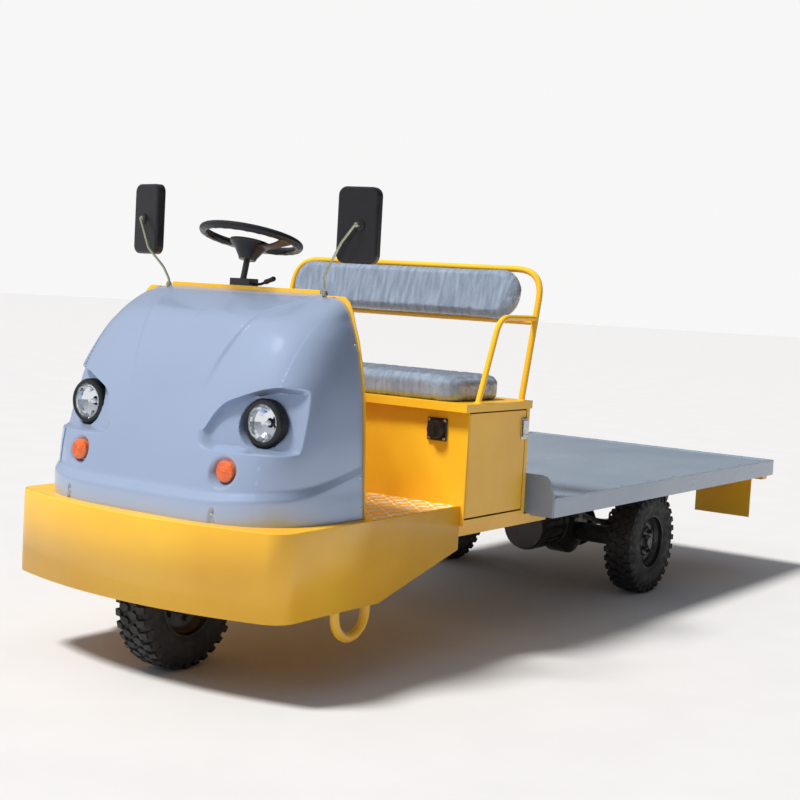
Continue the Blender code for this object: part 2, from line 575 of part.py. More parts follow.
SOCKET_X, SOCKET_Z, SOCKET_HALF = 0.490, 0.828, 0.042
socket = rounded(box(SOCKET_X - SOCKET_HALF, SOCKET_X + SOCKET_HALF, BOX_FRONT - TOUCH - 0.010, BOX_FRONT - TOUCH,
                     SOCKET_Z - SOCKET_HALF, SOCKET_Z + SOCKET_HALF), 0.006, 1)
charge_socket = add("charge_socket", socket, BLACK_PLASTIC)
join(charge_socket, rod((SOCKET_X, BOX_FRONT - 0.005, SOCKET_Z), (SOCKET_X, BOX_FRONT - 0.032, SOCKET_Z), 0.031, 24))

for side_name, side in SIDES:
    door_pivot = joint_empty(f"battery_door_{side_name}_hinge", (side * BOX_HALF, DOOR_HINGE_Y, 0))
    door = add(f"battery_door_{side_name}",
               mirrored(box(BOX_HALF - BOX_WALL, BOX_HALF, DOOR_HINGE_Y, BOX_REAR - DOOR_FRAME - RUN,
                            DOOR_BOTTOM + RUN, DOOR_TOP), side), YELLOW, door_pivot)
    join(door, rod((side * BOX_HALF, DOOR_HINGE_Y, DOOR_BOTTOM + RUN),
                   (side * BOX_HALF, DOOR_HINGE_Y, DOOR_TOP), DOOR_PIN, 12))
    latch_y = BOX_REAR - DOOR_FRAME - RUN
    latch = add(f"door_latch_{side_name}",
                mirrored(rounded(box(BOX_HALF + TOUCH, BOX_HALF + 0.010, latch_y - 0.034, latch_y - 0.002, 0.782,
                                     0.866), 0.006, 0), side), STEEL, door_pivot)
    join(latch, mirrored(box(BOX_HALF + 0.006, BOX_HALF + 0.014, latch_y - 0.026, latch_y + 0.012, 0.806, 0.842),
                         side))

# ---- Seat: lid, tube frame and cushions, tipping on the box's rear edge ------------------------------
lid = joint_empty("seat_lid_hinge", (0, HINGE_Y, HINGE_Z))
LID_HALF = BOX_HALF + SKIRT_OUT
LID_FRONT = BOX_FRONT - LID_FRONT_OVERHANG
LID_REAR = BOX_REAR - TOUCH
seat_lid = add("seat_lid", box(-LID_HALF, LID_HALF, LID_FRONT, LID_REAR, LID_BOTTOM, LID_TOP), YELLOW, lid)
cut(seat_lid, box(-LID_HALF + LID_PLATE, LID_HALF - LID_PLATE, LID_FRONT + LID_PLATE, LID_REAR + 0.1,
                  LID_BOTTOM - 0.1, LID_TOP - LID_PLATE))
for x in HINGES:
    knuckle = rod((x, HINGE_Y, HINGE_Z), (x + HINGE_HALF, HINGE_Y, HINGE_Z), HINGE_RADIUS, 12)
    leaf_plate = box(x, x + HINGE_HALF, LID_REAR - 0.003, HINGE_Y - 0.002, LID_TOP - LID_PLATE, LID_TOP)
    join(seat_lid, knuckle, leaf_plate, box(x, x + HINGE_HALF, LID_REAR + 0.001, HINGE_Y,
                                            HINGE_Z + 0.001, LID_TOP))

TUBE_X = LID_HALF - 0.025
FOOT_Y = BOX_REAR - 0.045
FOOT_Z = LID_TOP + TOUCH
BACK_TOP = 1.428
LEAN = math.tan(BACK_RAKE)


def on_back(x, z):
    """A point of the raked backrest plane."""
    return (x, FOOT_Y + (z - LID_TOP) * LEAN, z)


BEND_TOP = 0.115
hoop = [on_back(TUBE_X, FOOT_Z), on_back(TUBE_X, BACK_TOP), on_back(-TUBE_X, BACK_TOP), on_back(-TUBE_X, FOOT_Z)]
seat_frame = add("seat_frame", bent_tube(hoop, SEAT_TUBE, BEND_TOP, 12, 6), YELLOW, lid, smooth=40)
BAR_Z = 1.228
join(seat_frame, bent_tube([on_back(-TUBE_X, BAR_Z), on_back(TUBE_X, BAR_Z)], SEAT_TUBE, 0.01, 12))
ARM_Z = 1.243
ARM_FRONT = 1.300
ARM_FOOT = 1.180
for side_name, side in SIDES:
    arm = [on_back(side * TUBE_X, ARM_Z), (side * TUBE_X, ARM_FRONT, ARM_Z), (side * TUBE_X, ARM_FOOT, FOOT_Z)]
    join(seat_frame, bent_tube(arm, SEAT_TUBE * 0.9, 0.085, 12, 6))
cut(seat_frame, box(-1, 1, 1, 2, LID_TOP - 0.1, FOOT_Z))

seat_front = LID_FRONT + 0.012
cushion = rounded(rounded(box(-SEAT_HALF, SEAT_HALF, seat_front, seat_front + SEAT_DEPTH, LID_TOP + TOUCH,
                              LID_TOP + SEAT_THICK), 0.030, 2), 0.022, 0, 2)
add("seat_cushion", cushion, VINYL, lid, smooth=40)
back = rounded(box(-BACK_HALF, BACK_HALF, -BACK_THICK, 0, -BACK_HEIGHT / 2, BACK_HEIGHT / 2), 0.085, 1, 5)
front_edges = [e for e in back.edges if all(v.co.y < -0.99 * BACK_THICK for v in e.verts)]
bmesh.ops.bevel(back, geom=front_edges, offset=0.018, segments=2, affect="EDGES", profile=0.5)
BACK_MIDDLE = (BAR_Z + BACK_TOP) / 2 - 0.007
bmesh.ops.rotate(back, verts=back.verts, cent=(0, 0, 0), matrix=Matrix.Rotation(-BACK_RAKE, 3, "X"))
seat_back_place = Vector(on_back(0, BACK_MIDDLE)) + Vector((0, -(SEAT_TUBE + TOUCH) / math.cos(BACK_RAKE), 0))
bmesh.ops.translate(back, verts=back.verts, vec=seat_back_place)
add("backrest_cushion", back, VINYL, lid, smooth=40)

# ---- Cowl and its lamps ------------------------------------------------------------------------------
COWL_BOTTOM = FLOOR_TOP + TOUCH
# Height, half width at the rear, front station and squareness of each level of the cowl.
COWL_LEVELS = [(COWL_BOTTOM, 0.571, 0.058, 3.5), (0.635, 0.566, 0.062, 3.5), (0.662, 0.563, 0.088, 3.3),
               (0.780, 0.558, 0.108, 3.2), (0.900, 0.550, 0.142, 3.1), (0.985, 0.541, 0.178, 3.1),
               (1.076, 0.526, 0.228, 3.0), (1.150, 0.508, 0.280, 2.9), (1.205, 0.488, 0.330, 2.8),
               (1.241, 0.474, 0.376, 2.8), (1.268, 0.452, 0.428, 2.8), (1.283, 0.425, 0.480, 2.8)]
COWL_TOP = 1.290


def cowl_level(z, half, front, square, wall, steps=26):
    """A superellipse arch round the cowl, from its right rear edge to its left one."""
    depth = COWL_REAR - TOUCH - front - wall
    points = []
    for i in range(steps + 1):
        t = math.pi * (1 - i / steps)
        c, s = math.cos(t), math.sin(t)
        points.append(((half - wall) * math.copysign(abs(c) ** (2 / square), c),
                       COWL_REAR - TOUCH - depth * abs(s) ** (2 / square), z))
    return points


def cowl_skin(wall):
    rows = [cowl_level(z - (wall if z > 1.2 else 0), h, f, q, wall) for z, h, f, q in COWL_LEVELS]
    last = rows[-1]
    rows.append([(x * 0.94, COWL_REAR - TOUCH, COWL_TOP - wall) for x, y, z in last])
    return rows


def cowl_shell():
    shape = bmesh.new()
    skins = []
    for wall in (0.0, COWL_WALL):
        skins.append([[shape.verts.new(p) for p in row] for row in cowl_skin(wall)])
    for skin in skins:
        for low, high in zip(skin, skin[1:]):
            for i in range(len(low) - 1):
                shape.faces.new((low[i], low[i + 1], high[i + 1], high[i]))
    outside, inside = skins
    bottom = list(zip(outside[0], inside[0]))
    left = [(o[-1], n[-1]) for o, n in zip(outside, inside)]
    right = [(o[0], n[0]) for o, n in zip(outside, inside)]
    top = list(zip(outside[-1], inside[-1]))
    for strip in (bottom, left, right, top):
        for (a, b), (c, d) in zip(strip, strip[1:]):
            shape.faces.new((a, b, d, c))
    return shape


cowl = add("cowl", cowl_shell(), COWL_BLUE, smooth=40)


LAMP_RADIUS = 0.072
LAMP_AT = (0.398, 0.222, 0.879)  # middle of the headlamp's face, set back in its socket
SIGNAL_RADIUS = 0.033
SIGNAL_AT = (0.330, 0.119, 0.723)
for side_name, side in SIDES:
    for kind, radius, (x, y, z), deep, glass in (("headlamp", LAMP_RADIUS, LAMP_AT, 0.085, LAMP_GLASS),
                                                 ("indicator", SIGNAL_RADIUS, SIGNAL_AT, 0.040, ORANGE_LENS)):
        add(f"{kind}_{side_name}", rod((side * x, y, z), (side * x, y + deep, z), radius, 28), glass, smooth=40)
        cut(cowl, rod((side * x, y - 0.2, z), (side * x, y + deep + 0.03, z), radius + TOUCH, 28))

# ---- Dash panel, column, lever and pedals ------------------------------------------------------------
PANEL_TOP = COWL_TOP + 0.020
PANEL_SHOULDER = COWL_TOP + 0.003
panel_half = [(h + PANEL_PROUD, z) for z, h, f, q in COWL_LEVELS[:9]]
panel_left = panel_half + [(0.482, 1.246), (0.466, 1.276), (0.445, PANEL_SHOULDER), (0.343, PANEL_SHOULDER),
                           (0.338, PANEL_TOP)]
panel_outline = [(-x, z) for x, z in reversed(panel_left)] + panel_left
dash_panel = add("dash_panel", prism(panel_outline, 1, COWL_REAR, COWL_REAR + PANEL_THICK), YELLOW)
dash_rear = COWL_REAR + PANEL_THICK + TOUCH

tilt = Vector((0, math.sin(COLUMN_RAKE), math.cos(COLUMN_RAKE)))
ring_centre = Vector((COLUMN_X, RING_Y, RING_Z))
HUB_DROP = 0.080  # from the ring's plane down to the hub's underside
BRACKET_HALF = 0.045
BRACKET_DEEP = 0.052
column_top = ring_centre - tilt * (HUB_DROP + PIN)
column_box = box(COLUMN_X - BRACKET_HALF, COLUMN_X + BRACKET_HALF, dash_rear, dash_rear + BRACKET_DEEP, 1.215, 1.335)
steering_column = add("steering_column", column_box, BLACK_METAL)
join(steering_column, rod(ring_centre - tilt * 0.155, column_top, COLUMN_RADIUS, 16))

wheel_pivot = joint_empty("steering_wheel_pivot", ring_centre, rotation=(-COLUMN_RAKE, 0, 0))
ring = bmesh.new()
RING_SEGMENTS, RING_SIDES = 36, 10
section = [ring.verts.new((RING_RADIUS + RING_TUBE * math.cos(a), 0, RING_TUBE * math.sin(a)))
           for a in (math.tau * i / RING_SIDES for i in range(RING_SIDES))]
section_edges = [ring.edges.new((section[i], section[(i + 1) % RING_SIDES])) for i in range(RING_SIDES)]
bmesh.ops.spin(ring, geom=section + section_edges, cent=(0, 0, 0), axis=(0, 0, 1), angle=math.tau,
               steps=RING_SEGMENTS, use_merge=True)


def in_wheel(shape):
    """Places a shape drawn round the ring's centre."""
    bmesh.ops.translate(shape, verts=shape.verts, vec=ring_centre)
    return shape


steering_wheel = add("steering_wheel", in_wheel(ring), BLACK_PLASTIC, wheel_pivot, smooth=50)
join(steering_wheel, in_wheel(rod((0, 0, -HUB_DROP), (0, 0, -0.018), 0.034, 24, 0.072)))
for angle in (0, 90, 180):
    spoke = rod((0.045, 0, -0.042), (RING_RADIUS, 0, -0.002), 0.013, 8, 0.009)
    bmesh.ops.scale(spoke, verts=spoke.verts, vec=(1, 1.9, 1))
    bmesh.ops.rotate(spoke, verts=spoke.verts, cent=(0, 0, 0), matrix=Matrix.Rotation(math.radians(angle), 3, "Z"))
    join(steering_wheel, in_wheel(spoke))

lever_x, lever_y = COLUMN_X + BRACKET_HALF, dash_rear + 0.030
direction_lever = add("direction_lever",
                      bent_tube([(lever_x + TOUCH, lever_y, 1.316), (lever_x + 0.030, lever_y, 1.318),
                                 (lever_x + 0.075, lever_y - 0.010, 1.332)], 0.005, 0.01, 8, 3),
                      BLACK_PLASTIC, smooth=40)
join(direction_lever, rod((lever_x + 0.055, lever_y - 0.0055, 1.3258), (lever_x + 0.105, lever_y - 0.0167, 1.3413),
                          0.009, 12))

for name, x, width in (("brake_pedal", -0.060, 0.080), ("accelerator_pedal", 0.130, 0.060)):
    pedal = add(name, prism([(dash_rear, 0.700), (dash_rear + 0.012, 0.700), (dash_rear + 0.115, 0.625),
                             (dash_rear + 0.130, 0.640), (dash_rear + 0.016, 0.730), (dash_rear, 0.730)],
                            0, x - 0.010, x + 0.010), BLACK_METAL)
    join(pedal, prism([(dash_rear + 0.085, 0.620), (dash_rear + 0.155, 0.655), (dash_rear + 0.150, 0.665),
                       (dash_rear + 0.080, 0.630)], 0, x - width / 2, x + width / 2))

# ---- Mirrors -----------------------------------------------------------------------------------------
MIRROR_AT = Vector((0.480, 0.565, 1.532))
MIRROR_TURN = math.radians(12)
ARM_RADIUS = 0.0045
ARM_X = 0.359
BALL_RADIUS = 0.010
BALL_LENGTH = 0.022
for side_name, side in SIDES:
    back_y = MIRROR_AT.y - MIRROR_THICK / 2 / math.cos(MIRROR_TURN) - TOUCH
    ball = Vector((side * (MIRROR_AT.x + BALL_RADIUS), back_y, MIRROR_AT.z))
    foot = Vector((side * ARM_X, COWL_REAR + PANEL_THICK / 2, PANEL_SHOULDER + TOUCH))
    arm_path = [foot, foot + Vector((0, 0, 0.022)), foot + Vector((side * 0.010, -0.022, 0.067)),
                foot + Vector((side * 0.066, -0.045, 0.132)), ball - Vector((0, BALL_LENGTH * 0.6, 0))]
    arm = add(f"mirror_arm_{side_name}", bent_tube(arm_path, ARM_RADIUS, 0.05, 10, 4), ZINC, smooth=40)
    join(arm, rod(ball - Vector((0, BALL_LENGTH, 0)), ball, BALL_RADIUS, 14),
         rod(foot, foot + Vector((0, 0, 0.016)), 0.008, 6))
    head = rounded(box(-MIRROR_WIDTH / 2, MIRROR_WIDTH / 2, -MIRROR_THICK / 2, MIRROR_THICK / 2,
                       -MIRROR_HEIGHT / 2, MIRROR_HEIGHT / 2), 0.030, 1, 4)
    bmesh.ops.rotate(head, verts=head.verts, cent=(0, 0, 0), matrix=Matrix.Rotation(side * MIRROR_TURN, 3, "Z"))
    bmesh.ops.translate(head, verts=head.verts, vec=(side * MIRROR_AT.x, MIRROR_AT.y, MIRROR_AT.z))
    add(f"mirror_{side_name}", head, BLACK_PLASTIC, smooth=40)
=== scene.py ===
"""Looks of an electric three-wheeled platform truck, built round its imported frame.

Stations along the truck are measured from the apron's front face, in metres."""

import math

import bmesh
import bpy
from mathutils import Matrix, Vector, noise


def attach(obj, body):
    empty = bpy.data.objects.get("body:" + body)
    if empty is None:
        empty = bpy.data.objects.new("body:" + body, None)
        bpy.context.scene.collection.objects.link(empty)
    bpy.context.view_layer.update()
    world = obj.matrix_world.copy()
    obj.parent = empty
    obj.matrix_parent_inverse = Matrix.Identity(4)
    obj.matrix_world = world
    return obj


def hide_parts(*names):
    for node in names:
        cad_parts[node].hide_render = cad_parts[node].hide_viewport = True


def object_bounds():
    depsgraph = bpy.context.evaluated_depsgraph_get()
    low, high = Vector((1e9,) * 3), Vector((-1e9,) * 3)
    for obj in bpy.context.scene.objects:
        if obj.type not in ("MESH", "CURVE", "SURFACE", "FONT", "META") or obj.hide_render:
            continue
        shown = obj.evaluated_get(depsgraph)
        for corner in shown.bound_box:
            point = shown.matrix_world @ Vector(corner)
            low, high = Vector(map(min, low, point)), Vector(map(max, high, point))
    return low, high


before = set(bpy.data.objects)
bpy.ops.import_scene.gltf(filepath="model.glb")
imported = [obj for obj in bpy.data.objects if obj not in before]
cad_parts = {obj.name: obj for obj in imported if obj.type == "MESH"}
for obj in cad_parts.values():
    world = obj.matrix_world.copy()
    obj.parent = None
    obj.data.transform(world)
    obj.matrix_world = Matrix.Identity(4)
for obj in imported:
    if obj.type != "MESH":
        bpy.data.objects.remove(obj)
cad_low, cad_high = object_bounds()
FRONT = cad_low.y

# ---- Camera, floor and light -------------------------------------------------------------------------
# A long lens at a person's eye height, ahead of the truck and to its left, held a few degrees off level.
# A broad key light stands high to the front and right, with a faint glint beside it; a pale sky fills the
# rest and thins out behind.
azimuth, elevation, lean = math.radians(34.646), math.radians(4.476), math.radians(3.207)
back = Vector((math.sin(azimuth) * math.cos(elevation), -math.cos(azimuth) * math.cos(elevation),
               math.sin(elevation)))
across = (-back).cross(Vector((0, 0, 1))).normalized()
upward = across.cross(-back)
right = math.cos(lean) * across + math.sin(lean) * upward
top = math.cos(lean) * upward - math.sin(lean) * across
camera = bpy.data.objects.new("camera", bpy.data.cameras.new("camera"))
camera.data.lens = 67.51
camera.data.clip_end = 200
camera.matrix_world = Matrix.Translation((3.4627, -5.4084, 1.3514)) @ Matrix((right, top,
                                                                              back)).transposed().to_4x4()
bpy.context.scene.collection.objects.link(camera)
bpy.context.scene.camera = camera
bpy.context.scene.view_settings.view_transform = "Standard"

key = bpy.data.objects.new("key_light", bpy.data.lights.new("key_light", "SUN"))
key.data.energy = 4.4
key.data.angle = math.radians(13)
key.data.color = (1.0, 0.97, 0.92)
TOWARDS_KEY = Vector((-0.27, -0.42, 0.87))
key.rotation_euler = TOWARDS_KEY.to_track_quat("Z", "Y").to_euler()
key.visible_glossy = False
glint = bpy.data.objects.new("glint_light", bpy.data.lights.new("glint_light", "SUN"))
glint.data.energy = 0.08
glint.data.angle = math.radians(9)
glint.rotation_euler = key.rotation_euler
bpy.context.scene.collection.objects.link(glint)
bpy.context.scene.collection.objects.link(key)

world = bpy.data.worlds.new("pale_sky")
bpy.context.scene.world = world
world.use_nodes = True
sky = world.node_tree
sky_way = sky.nodes.new("ShaderNodeTexCoord")
sky_side = sky.nodes.new("ShaderNodeVectorMath")
sky_side.operation = "DOT_PRODUCT"
sky_side.inputs[1].default_value = Vector((-0.55, -0.55, 0.62)).normalized()
sky_ramp = sky.nodes.new("ShaderNodeValToRGB")
sky_ramp.color_ramp.elements[0].position = 0.22
sky_ramp.color_ramp.elements[0].color = (0.03, 0.04, 0.055, 1)
sky_ramp.color_ramp.elements[1].position = 1.0
sky_ramp.color_ramp.elements[1].color = (0.86, 0.89, 0.95, 1)
sky_shift = sky.nodes.new("ShaderNodeMapRange")
sky_shift.inputs["From Min"].default_value = -1.0
sky_plain = sky.nodes.new("ShaderNodeBackground")
sky_plain.inputs["Color"].default_value = (0.935, 0.932, 0.932, 1)
sky_seen = sky.nodes.new("ShaderNodeLightPath")
sky_mix = sky.nodes.new("ShaderNodeMixShader")
sky_light = sky.nodes["Background"]
sky.links.new(sky_way.outputs["Generated"], sky_side.inputs[0])
sky.links.new(sky_side.outputs["Value"], sky_shift.inputs["Value"])
sky.links.new(sky_shift.outputs["Result"], sky_ramp.inputs["Fac"])
sky.links.new(sky_ramp.outputs["Color"], sky_light.inputs["Color"])
sky_light.inputs["Strength"].default_value = 0.62
sky.links.new(sky_seen.outputs["Is Camera Ray"], sky_mix.inputs["Fac"])
sky.links.new(sky_light.outputs["Background"], sky_mix.inputs[1])
sky.links.new(sky_plain.outputs["Background"], sky_mix.inputs[2])
sky.links.new(sky_mix.outputs["Shader"], sky.nodes["World Output"].inputs["Surface"])


def surface(name, colour, roughness, **sockets):
    """A Principled finish; sockets are its other plain values, with _ for a space in their names."""
    material = bpy.data.materials.new(name)
    material.use_nodes = True
    shader = material.node_tree.nodes["Principled BSDF"]
    shader.inputs["Base Color"].default_value = (*colour, 1)
    shader.inputs["Roughness"].default_value = roughness
    for socket, value in sockets.items():
        shader.inputs[socket.replace("_", " ")].default_value = value
    return material


def grain(material, scale, detail=3.0, stretch=(1, 1, 1), kind="NOISE"):
    """A noise, wave or cell pattern in the object's own coordinates; gives its value output."""
    nodes, links = material.node_tree.nodes, material.node_tree.links
    place = nodes.new("ShaderNodeTexCoord")
    turn = nodes.new("ShaderNodeMapping")
    turn.inputs["Scale"].default_value = stretch
    links.new(place.outputs["Object"], turn.inputs["Vector"])
    if kind == "VORONOI":
        pattern = nodes.new("ShaderNodeTexVoronoi")
        pattern.inputs["Scale"].default_value = scale
        links.new(turn.outputs["Vector"], pattern.inputs["Vector"])
        return pattern.outputs["Distance"]
    pattern = nodes.new("ShaderNodeTexNoise")
    pattern.inputs["Scale"].default_value = scale
    pattern.inputs["Detail"].default_value = detail
    links.new(turn.outputs["Vector"], pattern.inputs["Vector"])
    return pattern.outputs["Fac"]


def tint(material, value, colours, stops=(0.35, 0.65), socket="Base Color"):
    """Drives a socket from a pattern, between two colours or two numbers."""
    ramp = material.node_tree.nodes.new("ShaderNodeValToRGB")
    for element, colour, stop in zip(ramp.color_ramp.elements, colours, stops):
        element.color = (*colour, 1) if isinstance(colour, tuple) else (colour, colour, colour, 1)
        element.position = stop
    material.node_tree.links.new(value, ramp.inputs["Fac"])
    material.node_tree.links.new(ramp.outputs["Color"],
                                 material.node_tree.nodes["Principled BSDF"].inputs[socket])
    return ramp


def emboss(material, value, strength, distance, coat=False):
    """Adds a fine relief from a pattern, on top of any relief that is there."""
    nodes, links = material.node_tree.nodes, material.node_tree.links
    bump = nodes.new("ShaderNodeBump")
    bump.inputs["Strength"].default_value = strength
    bump.inputs["Distance"].default_value = distance
    links.new(value, bump.inputs["Height"])
    socket = nodes["Principled BSDF"].inputs["Coat Normal" if coat else "Normal"]
    if socket.links:
        links.new(socket.links[0].from_socket, bump.inputs["Normal"])
    links.new(bump.outputs["Normal"], socket)


def shown(name, shape, material, body, smooth=35, replaces=(), station=True):
    """Turns a bmesh, drawn in stations, into a finished piece that rides on a body."""
    if station:
        bmesh.ops.translate(shape, verts=shape.verts, vec=(0, FRONT, 0))
    mesh = bpy.data.meshes.new(name)
    shape.to_mesh(mesh)
    shape.free()
    mesh.materials.append(material)
    mesh.shade_smooth()
    if smooth < 180:
        mesh.set_sharp_from_angle(angle=math.radians(smooth))
    piece = bpy.data.objects.new(name, mesh)
    bpy.context.scene.collection.objects.link(piece)
    if smooth < 180:
        even = piece.modifiers.new("even_normals", "WEIGHTED_NORMAL")
        even.keep_sharp = True
    if body is None:
        return piece
    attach(piece, body)
    if replaces:
        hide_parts(*([replaces] if isinstance(replaces, str) else replaces))
    return piece


pale_floor = surface("pale_floor", (0.60, 0.60, 0.61), 0.9)
tint(pale_floor, grain(pale_floor, 3.0), ((0.595, 0.595, 0.605), (0.61, 0.61, 0.62)))
ground = bmesh.new()
bmesh.ops.create_circle(ground, cap_ends=True, segments=64, radius=60.0)
bmesh.ops.translate(ground, verts=ground.verts, vec=(0, 0, -0.0005))
shown("studio_floor", ground, pale_floor, None)

# ---- Yellow enamel and the front apron ---------------------------------------------------------------
# The apron is one 8 mm plate, rolled to a shallow bow with round corners and cut to a slope at the tail.
# Its upper edge is ground round; two coats of glossy yellow enamel leave a faint orange peel.
yellow = surface("yellow_enamel", (0.92, 0.50, 0.025), 0.36, Coat_Weight=0.22, Coat_Roughness=0.16)
tint(yellow, grain(yellow, 2.4, 5.0), ((0.88, 0.46, 0.020), (0.96, 0.54, 0.030)))
tint(yellow, grain(yellow, 9.0, 6.0), (0.28, 0.40), socket="Roughness")
emboss(yellow, grain(yellow, 240.0, 2.0), 0.05, 0.0006)

APRON_HALF, APRON_BOW, APRON_CORNER = 0.605, 0.106, 0.090
APRON_TOP, APRON_BOTTOM, APRON_TAIL = 0.560, 0.273, 1.0997
SLOPE_START, TAIL_BOTTOM = 0.618, 0.400
bow_radius = (APRON_HALF ** 2 + APRON_BOW ** 2) / (2 * APRON_BOW)
corner_x = APRON_HALF - APRON_CORNER
corner_y = bow_radius - math.sqrt((bow_radius - APRON_CORNER) ** 2 - corner_x ** 2)
spread = math.atan2(corner_x, bow_radius - corner_y)

apron = bmesh.new()
LIP = 0.004
profile = [(0, APRON_BOTTOM)] + [(LIP - LIP * math.cos(a), APRON_TOP - LIP + LIP * math.sin(a))
                                 for a in (math.pi / 8 * i for i in range(5))] + [(0.0085, APRON_TOP)]
verts = [apron.verts.new((0, y, z)) for y, z in profile]
edge = verts + [apron.edges.new(pair) for pair in zip(verts, verts[1:])]
edge = bmesh.ops.spin(apron, geom=edge, cent=(0, bow_radius, 0), axis=(0, 0, 1), angle=spread,
                      steps=40)["geom_last"]
edge = bmesh.ops.spin(apron, geom=edge, cent=(corner_x, corner_y, 0), axis=(0, 0, 1),
                      angle=math.pi / 2 - spread, steps=20)["geom_last"]
tail = bmesh.ops.extrude_edge_only(apron,
                                   edges=[e for e in edge if isinstance(e, bmesh.types.BMEdge)])["geom"]
bmesh.ops.translate(apron, verts=[v for v in tail if isinstance(v, bmesh.types.BMVert)],
                    vec=(0, APRON_TAIL - corner_y, 0))
slope = Vector((0, APRON_TAIL - SLOPE_START, TAIL_BOTTOM - APRON_BOTTOM)).normalized()
bmesh.ops.bisect_plane(apron, geom=apron.verts[:] + apron.edges[:] + apron.faces[:], dist=1e-6,
                       plane_co=(0, SLOPE_START, APRON_BOTTOM), plane_no=slope.cross(Vector((1, 0, 0))),
                       clear_inner=False, clear_outer=True)
bmesh.ops.mirror(apron, geom=apron.verts[:] + apron.edges[:] + apron.faces[:], merge_dist=1e-5, axis="X")
bmesh.ops.remove_doubles(apron, verts=apron.verts, dist=1e-5)
bmesh.ops.recalc_face_normals(apron, faces=apron.faces)
apron_piece = shown("apron_skin", apron, yellow, "chassis", 30, "front_apron")
wall = apron_piece.modifiers.new("plate", "SOLIDIFY")
wall.thickness = 0.0076
wall.offset = -1

# ---- Moulded cowl ------------------------------------------------------------------------------------
# One glass-fibre moulding in pearl blue-grey, open at the back and screwed to the floor and the dash
# panel. It has a proud skirt, a raised bonnet, eye-shaped lamp sockets and round indicator wells.
pearl = surface("cowl_pearl", (0.38, 0.47, 0.66), 0.38, Metallic=0.5, Coat_Weight=0.5, Coat_Roughness=0.10)
tint(pearl, grain(pearl, 1.7, 4.0), ((0.375, 0.465, 0.650), (0.395, 0.490, 0.680)))
tint(pearl, grain(pearl, 14.0, 6.0), (0.37, 0.43), socket="Roughness")

COWL_REAR = 0.5537
LAMP = Vector((0.398, 0.222, 0.879))
SIGNAL = Vector((0.330, 0.121, 0.723))
# Height, half width at the back, front station and squareness of the plan, level by level.
COWL_LEVELS = ((0.5603, 0.571, 0.058, 3.5), (0.620, 0.567, 0.062, 3.7), (0.662, 0.563, 0.072, 4.0),
               (0.784, 0.558, 0.106, 4.6), (0.880, 0.551, 0.138, 4.8), (0.985, 0.541, 0.180, 4.6),
               (1.076, 0.526, 0.228, 4.1), (1.150, 0.508, 0.276, 3.6), (1.192, 0.494, 0.310, 3.1),
               (1.214, 0.484, 0.340, 3.0), (1.241, 0.474, 0.400, 2.9), (1.268, 0.452, 0.470, 2.8),
               (1.283, 0.425, 0.522, 2.8), (1.290, 0.399, 0.5530, 2.8))
BROW = ((0.0, 0.846), (0.190, 0.846), (0.206, 0.872), (0.221, 0.900), (0.262, 0.938), (0.315, 0.959),
        (0.363, 0.975), (0.411, 0.989), (0.470, 0.998), (0.580, 1.001))
CREASE = ((0.90, 0.140), (0.976, 0.159), (1.059, 0.179), (1.139, 0.203), (1.210, 0.232), (1.255, 0.292),
          (1.290, 0.345))
SOCKET_SILL = 0.786
SKIRT_STEP = 0.020  # how far the skirt stands ahead of the panel above it


def along(table, value, column=1):
    """A smooth reading of one column of a table whose first column rises."""
    value = min(max(value, table[0][0]), table[-1][0])
    k = next(i for i in range(len(table) - 1) if value <= table[i + 1][0])
    rates = []
    for i in range(k - 1, k + 2):
        low, high = table[min(max(i, 0), len(table) - 2)], table[min(max(i, 0), len(table) - 2) + 1]
        rates.append((high[column] - low[column]) / (high[0] - low[0]))
    start, end = (2 * a * b / (a + b) if a * b > 0 else 0.0 for a, b in zip(rates, rates[1:]))
    low, high = table[k], table[k + 1]
    span = high[0] - low[0]
    t = (value - low[0]) / span
    return (low[column] * (1 + 2 * t) * (1 - t) ** 2 + high[column] * t * t * (3 - 2 * t)
            + span * t * (1 - t) * (start * (1 - t) - end * t))


def ease(value, start, end):
    t = min(max((value - start) / (end - start), 0.0), 1.0)
    return t * t * (3 - 2 * t)


def plan_point(turn, level):
    """A point of the cowl's plan at one level; turn runs from -1 at the right rear to 1 at the left rear."""
    half, front, square = (along(COWL_LEVELS, level, column) for column in (1, 2, 3))
    angle = math.pi / 2 * (1 - turn)
    c, s = math.cos(angle), math.sin(angle)
    return (half * math.copysign(abs(c) ** (2 / square), c),
            COWL_REAR - (COWL_REAR - front) * abs(s) ** (2 / square))


def even_turns(count):
    """Turns that space the columns evenly, and closer together across the lamp sockets."""
    fine = [i / 4000 for i in range(4001)]
    reach = [0.0]
    for first, second in zip(fine, fine[1:]):
        (x0, y0), (x1, y1) = plan_point(first, 0.87), plan_point(second, 0.87)
        reach.append(reach[-1] + math.hypot(x1 - x0,
                                            y1 - y0) * (1.7 if 0.18 < x0 < 0.53 and y0 < 0.32 else 1.0))
    turns, k = [], 0
    for i in range(count + 1):
        while reach[k] < reach[-1] * i / count and k < 4000:
            k += 1
        turns.append(fine[k])
    return [-t for t in reversed(turns[1:])] + turns


def row_heights(x, y):
    """The heights of one column's points; rows follow the skirt's ridge, the socket's sill and its brow."""
    ridge = 0.641 + 0.012 * ease(abs(x), 0.30, 0.50) + 0.090 * ease(y, 0.12, 0.75)
    brow = along(BROW, abs(x))
    marks = ((0.5603, 10), (ridge - 0.012, 9), (ridge + 0.014, 16), (SOCKET_SILL - 0.006, 5),
             (SOCKET_SILL + 0.010, 38), (brow, 44), (1.206, 34), (1.290, 0))
    heights = []
    for (low, count), (high, after) in zip(marks, marks[1:]):
        heights += [low + (high - low) * i / count for i in range(count)]
    return heights + [1.290], ridge, brow


